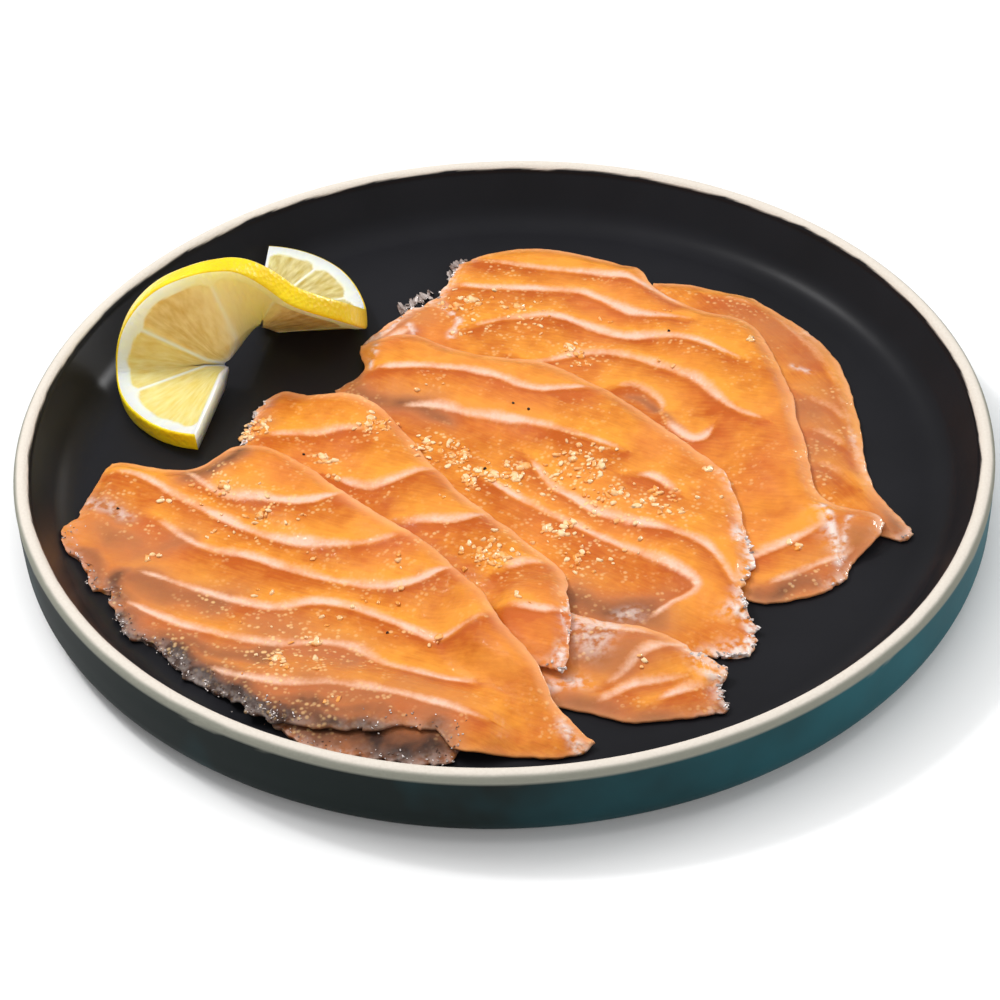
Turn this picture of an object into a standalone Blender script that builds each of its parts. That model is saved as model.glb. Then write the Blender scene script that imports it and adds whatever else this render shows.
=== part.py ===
"""Salmon carpaccio: limp raw salmon slices fanned across a walled stoneware plate, with a lemon twist.

Metres, +Z up. The origin is the centre of the plate on the surface that it stands on, +X is to the
diner's right and +Y points away from the diner. Outlines below are plan positions in millimetres.
"""
import math

import bmesh
import bpy
import numpy as np

MM = 0.001
GAP = 0.35                      # air left between touching pieces

# Plate, millimetres
PLATE_RADIUS = 125.0
PLATE_HEIGHT = 22.6
FLOOR_TOP = 7.9
FLOOR_RADIUS = 107.0
LIP_WIDTH = 4.2
LIP_STEPS = 6
FILLET_RADIUS = 10.5            # between the floor and the inner wall
FILLET_REACH = 10.0             # no slice climbs further out on the fillet than this
WALL_SLOPE = 60                 # degrees from level, inner wall
WALL_LEAN = 0.5                 # the outer wall's foot is this much narrower than the lip
OUTER_ROUNDING = 7.0
UNDERSIDE = 1.3
RECESS = 2.6                    # hollow inside the foot ring
FOOT_RING = (74.0, 83.0)
FOOT_SLOPE = 1.4
PLATE_SEGMENTS = 72
ARC_STEPS = 5
SHARP_EDGE = 50                 # degrees between faces that are shaded as an edge

# Slices, millimetres
SLICE_THICKNESS = 2.4
EDGE_THICKNESS = 1.3
EDGE_TAPER = 5.0                # width of the thinned margin
SAG_REACH = 9.0                 # a slice bridges this far beside the edge of the one below
SAG_SOFTNESS = 4.0
CELL = 1.0                      # spacing of the height map that slices are laid on
MAP_HALF = 130
MAP_SAMPLING = 0.08             # share of a slice's own cell between two places written to the map
LINE_STEPS = 12                 # points on a rounded line between two given ones

# Each slice from the bottom of the pile up: its four edges, which share their corners.
# left and right run from front to back, front and back run from left to right.
SLICES = {
    "slice_rear": dict(
        cells=(20, 6),
        back=[(42, 81), (56, 77), (70, 71), (81, 59), (90, 41), (93, 23), (94, -11), (103, -32)],
        front=[(41, 71), (51, 51), (63, 25), (75, -10), (89, -27), (99, -34)]),
    "slice_back": dict(
        cells=(26, 10),
        back=[(-38, 55), (-33, 62), (-25, 72), (-17, 77), (-7, 94), (13, 98), (37, 88), (43, 75), (55, 63),
              (71, 51), (78, 9), (79, -16), (93, -25), (96, -30)],
        right=[(81, -51), (88, -39), (96, -30)],
        front=[(-37, 47), (-27, 42), (-6, 32), (15, 14), (34, -16), (48, -40), (60, -54), (81, -51)]),
    "slice_centre": dict(
        cells=(26, 10),
        back=[(-39, 52), (-25, 56), (-10, 48), (15, 40), (38, 17), (53, -3), (60, -27)],
        left=[(-46, 37), (-37, 41), (-39, 52)],
        right=[(55, -75), (60, -65), (57, -54), (60, -45), (60, -27)],
        front=[(-46, 37), (-32, 8), (-19, -17), (-7, -35), (21, -66), (40, -72), (55, -75)]),
    "slice_tail": dict(
        cells=(14, 8),
        back=[(6, -55), (16, -59), (35, -67), (53, -81)],
        right=[(52, -92), (49, -87), (53, -81)],
        front=[(2, -84), (19, -91), (28, -95), (40, -94), (52, -92)]),
    "slice_middle": dict(
        cells=(24, 9),
        back=[(-67, 26), (-58, 37), (-49, 32), (-34, 26), (-19, 1), (-4, -21), (12, -41), (15, -55)],
        front=[(-69, 16), (-63, -2), (-39, -27), (-17, -48), (-3, -70), (13, -82)]),
    "slice_sliver": dict(
        cells=(14, 5),
        back=[(-60, -79), (-41, -82), (-10, -92)],
        front=[(-58, -88), (-48, -101), (-27, -105), (-14, -105)]),
    "slice_front": dict(
        cells=(28, 12),
        back=[(-103, 10), (-83, 6), (-63, 11), (-41, -11), (-14, -41), (-2, -65), (13, -95), (20, -103)],
        left=[(-96, -55), (-100, -44), (-106, -37), (-111, -22), (-108, -5), (-103, 10)],
        front=[(-96, -55), (-86, -64), (-72, -80), (-58, -91), (-41, -96), (-21, -96), (-13, -104),
               (12, -106)]),
}

# Toppings, millimetres: the largest crumbs of minced garlic, in loose clusters (slice, x, y, radius, count)
CRUMB_CLUSTERS = [
    ("slice_centre", -11, 4, 3, 3), ("slice_centre", 2, -5, 5, 3), ("slice_centre", 19, -4, 7, 7),
    ("slice_centre", 26, -15, 5, 3), ("slice_centre", 39, -20, 6, 3), ("slice_middle", -4, -38, 5, 5),
    ("slice_middle", -47, 5, 2, 2), ("slice_front", -62, -16, 5, 2), ("slice_front", -74, -5, 5, 2),
    ("slice_front", -54, -68, 9, 3), ("slice_back", -9, 72, 6, 3), ("slice_back", 8, 66, 5, 2),
    ("slice_back", 20, 47, 4, 2)]
CRUMB_RADIUS = 1.3
CRUMB_RISE = 0.35               # a crumb's centre above the slice's face
CRUMB_STRETCH = (0.75, 1.25)    # range of each crumb's three proportions
CRUMB_ROUGHNESS = (0.85, 1.15)  # range of each corner's distance from the crumb's centre
CRUMB_SPACING = 3.6             # least distance between the centres of two crumbs
CRUMB_SEED = 11

# Lemon slice, millimetres: cut along one radius and twisted, so that its two ends lie flat
LEMON_RADIUS = 30.5
LEMON_THICKNESS = 5.5
LEMON_CORE = 1.6                # radius at which the pinched centre starts
LEMON_PINCH = 0.42              # half thickness for each millimetre of radius near the centre
LEMON_CELLS = (54, 7)
LEMON_TURN = 2                  # degrees to each side over which the slice's facing is taken
LEMON_FRONT_CENTRE = (-72.0, 41.0, 0.0)
LEMON_BACK_CENTRE = (-66.4, 63.4, -3.5)
LEMON_SHIFT = (150, 215)        # degrees over which the centre steps from the front one to the back one
# Direction of the rim seen from the centre, by the angle round the slice from its first cut edge
LEMON_RAYS = {
    0: (-0.26, -0.94, -0.10), 45: (-0.70, -0.68, -0.12), 90: (-1.00, 0.00, -0.04), 135: (-0.72, 0.12, 0.68),
    160: (-0.27, 0.08, 0.96), 180: (-0.06, -0.12, 0.99), 220: (0.42, -0.57, 0.71), 270: (1.00, 0.03, 0.00),
    315: (0.73, 0.68, 0.04), 360: (0.10, 0.99, 0.08)}


def remove_everything():
    for item in list(bpy.data.objects):
        bpy.data.objects.remove(item, do_unlink=True)


def finish(name, colour, roughness):
    """A plain Principled material."""
    material = bpy.data.materials.new(name)
    material.use_nodes = True
    shader = material.node_tree.nodes["Principled BSDF"]
    shader.inputs["Base Color"].default_value = (*colour, 1.0)
    shader.inputs["Roughness"].default_value = roughness
    shader.inputs["Metallic"].default_value = 0.0
    return material


def add_object(name, mesh, material):
    mesh.materials.append(material)
    item = bpy.data.objects.new(name, mesh)
    bpy.context.collection.objects.link(item)
    return item


def arc(centre, radius, start, stop, steps=ARC_STEPS):
    """Points on an arc in the plan of a profile, angles in degrees."""
    angles = np.radians(np.linspace(start, stop, steps + 1))
    return [(centre[0] + radius * math.cos(a), centre[1] + radius * math.sin(a)) for a in angles]


def plate_profile():
    """Half section of the plate from the middle of its underside round to the middle of its floor."""
    half_lip = LIP_WIDTH / 2
    lip_centre = (PLATE_RADIUS - half_lip, PLATE_HEIGHT - half_lip)
    wall_radius = PLATE_RADIUS - WALL_LEAN
    ring_in, ring_out = FOOT_RING
    profile = [(0.0, RECESS), (ring_in - FOOT_SLOPE, RECESS), (ring_in, 0.0), (ring_out, 0.0),
               (ring_out + FOOT_SLOPE, UNDERSIDE)]
    profile += arc((wall_radius - OUTER_ROUNDING, UNDERSIDE + OUTER_ROUNDING), OUTER_ROUNDING, -90, 0)
    profile += arc(lip_centre, half_lip, 0, 180, LIP_STEPS)
    profile += arc((FLOOR_RADIUS, FLOOR_TOP + FILLET_RADIUS), FILLET_RADIUS, WALL_SLOPE - 90, -90)
    profile.append((0.0, FLOOR_TOP))
    return profile


def make_plate():
    mesh = bpy.data.meshes.new("plate")
    shape = bmesh.new()
    verts = [shape.verts.new((r * MM, 0.0, z * MM)) for r, z in plate_profile()]
    edges = [shape.edges.new(pair) for pair in zip(verts, verts[1:])]
    bmesh.ops.spin(shape, geom=verts + edges, cent=(0, 0, 0), axis=(0, 0, 1), angle=math.tau,
                   steps=PLATE_SEGMENTS, use_merge=True)
    bmesh.ops.remove_doubles(shape, verts=shape.verts[:], dist=0.01 * MM)
    bmesh.ops.recalc_face_normals(shape, faces=shape.faces[:])
    shape.to_mesh(mesh)
    shape.free()
    mesh.shade_smooth()
    mesh.set_sharp_from_angle(angle=math.radians(SHARP_EDGE))
    add_object("plate", mesh, finish("dark_glazed_stoneware", (0.015, 0.02, 0.02), 0.3))


def smooth_line(points, count):
    """Equally spaced points on a rounded line through a few given ones."""
    given = np.array(points, float)
    if len(given) == 2:
        return given[0] + np.linspace(0, 1, count)[:, None] * (given[1] - given[0])
    ends = np.vstack([2 * given[0] - given[1], given, 2 * given[-1] - given[-2]])
    fine = []
    for before, start, stop, after in zip(ends, ends[1:], ends[2:], ends[3:]):
        for t in np.linspace(0, 1, LINE_STEPS, endpoint=False):
            fine.append(0.5 * (2 * start + (stop - before) * t
                               + (2 * before - 5 * start + 4 * stop - after) * t ** 2
                               + (3 * start - before - 3 * stop + after) * t ** 3))
    fine = np.array(fine + [given[-1]])
    run = np.concatenate([[0], np.cumsum(np.linalg.norm(np.diff(fine, axis=0), axis=1))])
    places = np.linspace(0, run[-1], count)
    return np.stack([np.interp(places, run, fine[:, axis]) for axis in range(2)], 1)


def slice_plan(shape):
    """Plan positions of a slice's grid, blended between its four edges."""
    across, deep = shape["cells"]
    front = smooth_line(shape["front"], across + 1)[:, None]
    back = smooth_line(shape["back"], across + 1)[:, None]
    left = smooth_line(shape.get("left", [front[0, 0], back[0, 0]]), deep + 1)[None]
    right = smooth_line(shape.get("right", [front[-1, 0], back[-1, 0]]), deep + 1)[None]
    u = np.linspace(0, 1, across + 1)[:, None, None]
    v = np.linspace(0, 1, deep + 1)[None, :, None]
    corners = ((1 - u) * ((1 - v) * front[0] + v * back[0]) + u * ((1 - v) * front[-1] + v * back[-1]))
    return (1 - v) * front + v * back + (1 - u) * left + u * right - corners


def disk_offsets(reach):
    cells = int(reach / CELL)
    span = range(-cells, cells + 1)
    return [(i, j) for i in span for j in span if i * i + j * j <= cells * cells]


def spread(heights, reach):
    """The highest ground within a distance of each place."""
    highest = heights.copy()
    for i, j in disk_offsets(reach):
        highest = np.maximum(highest, np.roll(heights, (i, j), (0, 1)))
    return highest


def soften(heights, reach):
    """The mean height within a distance of each place."""
    offsets = disk_offsets(reach)
    return sum(np.roll(heights, shift, (0, 1)) for shift in offsets) / len(offsets)


def read_map(heights, places):
    """Height at plan positions, between the map's cells."""
    grid = (places + MAP_HALF) / CELL
    low = np.floor(grid).astype(int)
    part = grid - low
    x, y = low[..., 0], low[..., 1]
    fx, fy = part[..., 0], part[..., 1]
    return ((1 - fx) * (1 - fy) * heights[x, y] + fx * (1 - fy) * heights[x + 1, y]
            + (1 - fx) * fy * heights[x, y + 1] + fx * fy * heights[x + 1, y + 1])


def fillet_height(places):
    """Height of the plate's floor where it curves up into its wall."""
    past = np.clip(np.linalg.norm(places, axis=-1) - FLOOR_RADIUS, 0, FILLET_REACH)
    return FLOOR_TOP + FILLET_RADIUS - np.sqrt(FILLET_RADIUS ** 2 - past ** 2)


def slice_thickness(plan):
    """Full thickness inside, thinned towards the cut edge."""
    edge = np.concatenate([plan[0], plan[-1], plan[:, 0], plan[:, -1]])
    inside = np.linalg.norm(plan[:, :, None] - edge, axis=-1).min(axis=-1)
    rise = np.clip(inside / EDGE_TAPER, 0, 1)
    return EDGE_THICKNESS + (SLICE_THICKNESS - EDGE_THICKNESS) * rise * rise * (3 - 2 * rise)


def closed_sheet(name, lower, upper, material):
    """One closed body between two like grids of points, both faces split into triangles alike."""
    across, deep = lower.shape[0] - 1, lower.shape[1] - 1
    shape = bmesh.new()
    bmesh.ops.create_grid(shape, x_segments=across, y_segments=deep, size=0.5)
    bmesh.ops.triangulate(shape, faces=shape.faces[:], quad_method="FIXED")
    sheet = bmesh.ops.extrude_face_region(shape, geom=shape.faces[:])["geom"]
    raised = {item for item in sheet if isinstance(item, bmesh.types.BMVert)}
    for vert in shape.verts:
        i = round((vert.co.x + 0.5) * across)
        j = round((vert.co.y + 0.5) * deep)
        vert.co = (upper if vert in raised else lower)[i, j] * MM
    bmesh.ops.recalc_face_normals(shape, faces=shape.faces[:])
    mesh = bpy.data.meshes.new(name)
    shape.to_mesh(mesh)
    shape.free()
    mesh.shade_smooth()
    mesh.set_sharp_from_angle(angle=math.radians(SHARP_EDGE))
    return add_object(name, mesh, material)


def within_cells(grid, a, b):
    """Values inside every cell of a grid, at one place between the cell's four corners."""
    near = (1 - a) * grid[:-1, :-1] + a * grid[1:, :-1]
    far = (1 - a) * grid[:-1, 1:] + a * grid[1:, 1:]
    return (1 - b) * near + b * far


def lay_on_map(heights, plan, top):
    """Writes a laid slice's top face into the height map."""
    steps = np.arange(0, 1, MAP_SAMPLING)
    for a in steps:
        for b in steps:
            cells = np.round((within_cells(plan, a, b) + MAP_HALF) / CELL).astype(int)
            np.maximum.at(heights, (cells[..., 0], cells[..., 1]), within_cells(top, a, b))


def make_slices():
    """Lays the slices one by one on the floor and on each other, and returns the heights that result."""
    size = int(2 * MAP_HALF / CELL) + 1
    heights = np.full((size, size), FLOOR_TOP)
    flesh = finish("raw_salmon", (0.85, 0.28, 0.08), 0.25)
    for name, shape in SLICES.items():
        plan = slice_plan(shape)
        support = soften(spread(heights, SAG_REACH), SAG_SOFTNESS)
        under = np.maximum(read_map(support, plan), fillet_height(plan)) + GAP
        over = under + slice_thickness(plan)
        closed_sheet(name, np.dstack([plan, under]), np.dstack([plan, over]), flesh)
        lay_on_map(heights, plan, over)
    return heights


def crumb_places():
    """Plan places of the crumbs on each slice, spread evenly over each cluster's disk."""
    draw = np.random.default_rng(CRUMB_SEED)
    places = {name: [] for name in SLICES}
    for name, x, y, radius, count in CRUMB_CLUSTERS:
        for angle, share in draw.uniform(0, 1, (count, 2)):
            offset = radius * math.sqrt(share)
            turn = math.tau * angle
            place = np.array([x + offset * math.cos(turn), y + offset * math.sin(turn)])
            if all(np.linalg.norm(place - other) > CRUMB_SPACING for other in places[name]):
                places[name].append(place)
    return places


def make_crumb(place, level, draw):
    """A rough lump with twenty faces, half sunk in the slice."""
    mesh = bpy.data.meshes.new("crumb")
    shape = bmesh.new()
    bmesh.ops.create_icosphere(shape, subdivisions=1, radius=CRUMB_RADIUS * MM)
    stretch = draw.uniform(*CRUMB_STRETCH, 3)
    centre = np.array([place[0], place[1], level + CRUMB_RISE]) * MM
    for vert in shape.verts:
        vert.co = np.array(vert.co) * stretch * draw.uniform(*CRUMB_ROUGHNESS) + centre
    shape.to_mesh(mesh)
    shape.free()
    return bpy.data.objects.new("crumb", mesh)


def fuse_crumbs(heights):
    """Joins each slice's crumbs to it with one union."""
    draw = np.random.default_rng(CRUMB_SEED + 1)
    for name, places in crumb_places().items():
        if not places:
            continue
        crumbs = bpy.data.collections.new(name + "_crumbs")
        bpy.context.scene.collection.children.link(crumbs)
        for place in places:
            crumbs.objects.link(make_crumb(place, read_map(heights, place), draw))
        target = bpy.data.objects[name]
        union = target.modifiers.new("crumbs", "BOOLEAN")
        union.operation = "UNION"
        union.operand_type = "COLLECTION"
        union.collection = crumbs
        union.solver = "EXACT"
        bpy.context.view_layer.objects.active = target
        bpy.ops.object.modifier_apply(modifier=union.name)
        for crumb in list(crumbs.objects):
            bpy.data.objects.remove(crumb, do_unlink=True)
        bpy.data.collections.remove(crumbs)


def lemon_ray(angle):
    """Unit vector from the slice's centre to its rim."""
    marks = sorted(LEMON_RAYS)
    index = min(max(np.searchsorted(marks, angle, side="right") - 1, 0), len(marks) - 2)
    around = [marks[min(max(k, 0), len(marks) - 1)] for k in (index - 1, index, index + 1, index + 2)]
    before, start, stop, after = (np.array(LEMON_RAYS[mark]) for mark in around)
    span = around[2] - around[1]
    t = (angle - around[1]) / span
    slope_start = (stop - before) * span / max(around[2] - around[0], span)
    slope_stop = (after - start) * span / max(around[3] - around[1], span)
    ray = ((2 * t ** 3 - 3 * t ** 2 + 1) * start + (t ** 3 - 2 * t ** 2 + t) * slope_start
           + (3 * t ** 2 - 2 * t ** 3) * stop + (t ** 3 - t ** 2) * slope_stop)
    return ray / np.linalg.norm(ray)


def lemon_centre(angle):
    """Centre of the slice, which steps sideways where the two halves part."""
    first, last = LEMON_SHIFT
    t = min(max((angle - first) / (last - first), 0), 1)
    t = t * t * (3 - 2 * t)
    return (1 - t) * np.array(LEMON_FRONT_CENTRE) + t * np.array(LEMON_BACK_CENTRE)


def make_lemon():
    across, deep = LEMON_CELLS
    radii = np.linspace(LEMON_CORE, LEMON_RADIUS, deep + 1)
    lower, upper = [], []
    for angle in np.linspace(0, 360, across + 1):
        ray = lemon_ray(angle)
        turn = lemon_ray(min(angle + LEMON_TURN, 360)) - lemon_ray(max(angle - LEMON_TURN, 0))
        normal = np.cross(ray, turn)
        normal /= np.linalg.norm(normal)
        half = np.minimum(LEMON_THICKNESS / 2, LEMON_PINCH * radii)
        middle = lemon_centre(angle) + radii[:, None] * ray
        lower.append(middle - half[:, None] * normal)
        upper.append(middle + half[:, None] * normal)
    faces = np.array([lower, upper])
    faces[..., 2] += FLOOR_TOP + GAP - faces[..., 2].min()
    closed_sheet("lemon_twist", *faces, finish("lemon", (0.9, 0.72, 0.1), 0.35))


remove_everything()
make_plate()
fuse_crumbs(make_slices())
make_lemon()
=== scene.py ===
"""Looks of a plated salmon carpaccio: a walled stoneware plate, raw salmon slices, crumbs and a lemon twist.

Metres, +Z up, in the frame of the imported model. Plan positions are in millimetres from the plate's centre,
+X to the diner's right and +Y away from the diner.
"""
import math

import bpy
import numpy as np
from mathutils import Matrix, Vector


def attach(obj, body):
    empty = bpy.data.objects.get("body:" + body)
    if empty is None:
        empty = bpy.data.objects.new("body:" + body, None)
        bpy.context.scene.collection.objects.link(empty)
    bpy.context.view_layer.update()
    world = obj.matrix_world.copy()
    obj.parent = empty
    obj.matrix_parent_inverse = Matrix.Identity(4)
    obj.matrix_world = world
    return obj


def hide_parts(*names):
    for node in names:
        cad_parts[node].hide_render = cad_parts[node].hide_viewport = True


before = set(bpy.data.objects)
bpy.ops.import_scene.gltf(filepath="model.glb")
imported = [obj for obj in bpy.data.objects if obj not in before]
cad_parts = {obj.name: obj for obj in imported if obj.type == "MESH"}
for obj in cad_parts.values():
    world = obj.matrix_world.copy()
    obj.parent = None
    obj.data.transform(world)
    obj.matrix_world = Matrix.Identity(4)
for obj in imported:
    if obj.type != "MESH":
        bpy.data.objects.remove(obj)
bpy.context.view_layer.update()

MM = 0.001

# Camera, fitted to the plate's two rims
VIEW_ELEVATION = 39.9           # degrees above the table
VIEW_DISTANCE = 0.8
VIEW_ROLL = -2.17               # degrees
VIEW_LENS = 110.7               # mm on a 36 mm sensor
VIEW_TARGET = (-0.0014, -0.0009, 0.0)
VIEW_CLIP = (0.05, 20)

# Plate, millimetres
PLATE_RADIUS = 125.0
PLATE_HEIGHT = 22.6
FLOOR_TOP = 7.9
FLOOR_RADIUS = 107.0
LIP_WIDTH = 4.2
FILLET_RADIUS = 10.5
FILLET_REACH = 10.0             # how far in from the wall the fish rides up on the fillet
WALL_SLOPE = 60
WALL_LEAN = 0.5
OUTER_ROUNDING = 7.0
UNDERSIDE = 1.3
RECESS = 2.6
FOOT_RING = (74.0, 83.0)
FOOT_SLOPE = 1.4
FOOT_ROUNDING = 0.6
UNDERSIDE_RINGS = (1.0, 40.0)   # radii of rings of points across the recess
HEEL_RING = 100.0
FLOOR_RINGS = (100.0, 85.0, 65.0, 45.0, 25.0, 8.0, 1.0)
ARC_STEPS = dict(foot=4, rounding=12, lip=20, fillet=14)
WALL_STEPS = (14, 12)           # up the outside of the wall and down its inside
PLATE_SEGMENTS = 288
OUT_OF_TRUE = 0.0016            # how far the rim is drawn in by hand, as a share of its radius
OUT_OF_TRUE_FROM = (12.0, 8.0)  # height where that begins, and over which it grows
WIPED = (1.1, 1.7)              # depth to which the lip is wiped bare inside, and what the outside adds
WIPED_WANDER = ((0.35, 9, 6), (0.2, 3, 7))   # height, size and seed of the waves in the glaze's edge
BRINK = (1.3, 0.9)              # depth and blend of the grey edge of the bare clay, from the outside in
GLAZE_BLEND = 0.4

# Slices, millimetres
SLICE_THICKNESS = 2.4
EDGE_THICKNESS = 1.3
EDGE_TAPER = 5.0
SAG_REACH = 9.0
SAG_SOFTNESS = 4.0
CONTACT = 0.12                  # air left under a slice
CELL = 1.0                      # spacing of the height map
MAP_HALF = 130
STEP = 0.67                     # spacing of a slice's own grid
RIM_STATIONS = (0.0, 0.1, 0.26, 0.48, 0.78, 1.15)   # closer spacing where the cut edge rounds over
RIM_ROUND = 1.0
RIM_SHARE = 0.6                 # height of the middle of a cut edge, as a share of the thickness
CORNER_CELLS = 9                # grid cells from a corner to a place well inside the slice
TORN_CELLS = 8                  # and from an edge, to find the way outwards
BLUNT_REACH = 6.0               # corners are drawn in over this distance
BLUNT_DEPTH = 1.3
LINE_STEPS = 12                 # points between two given points of a line

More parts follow.
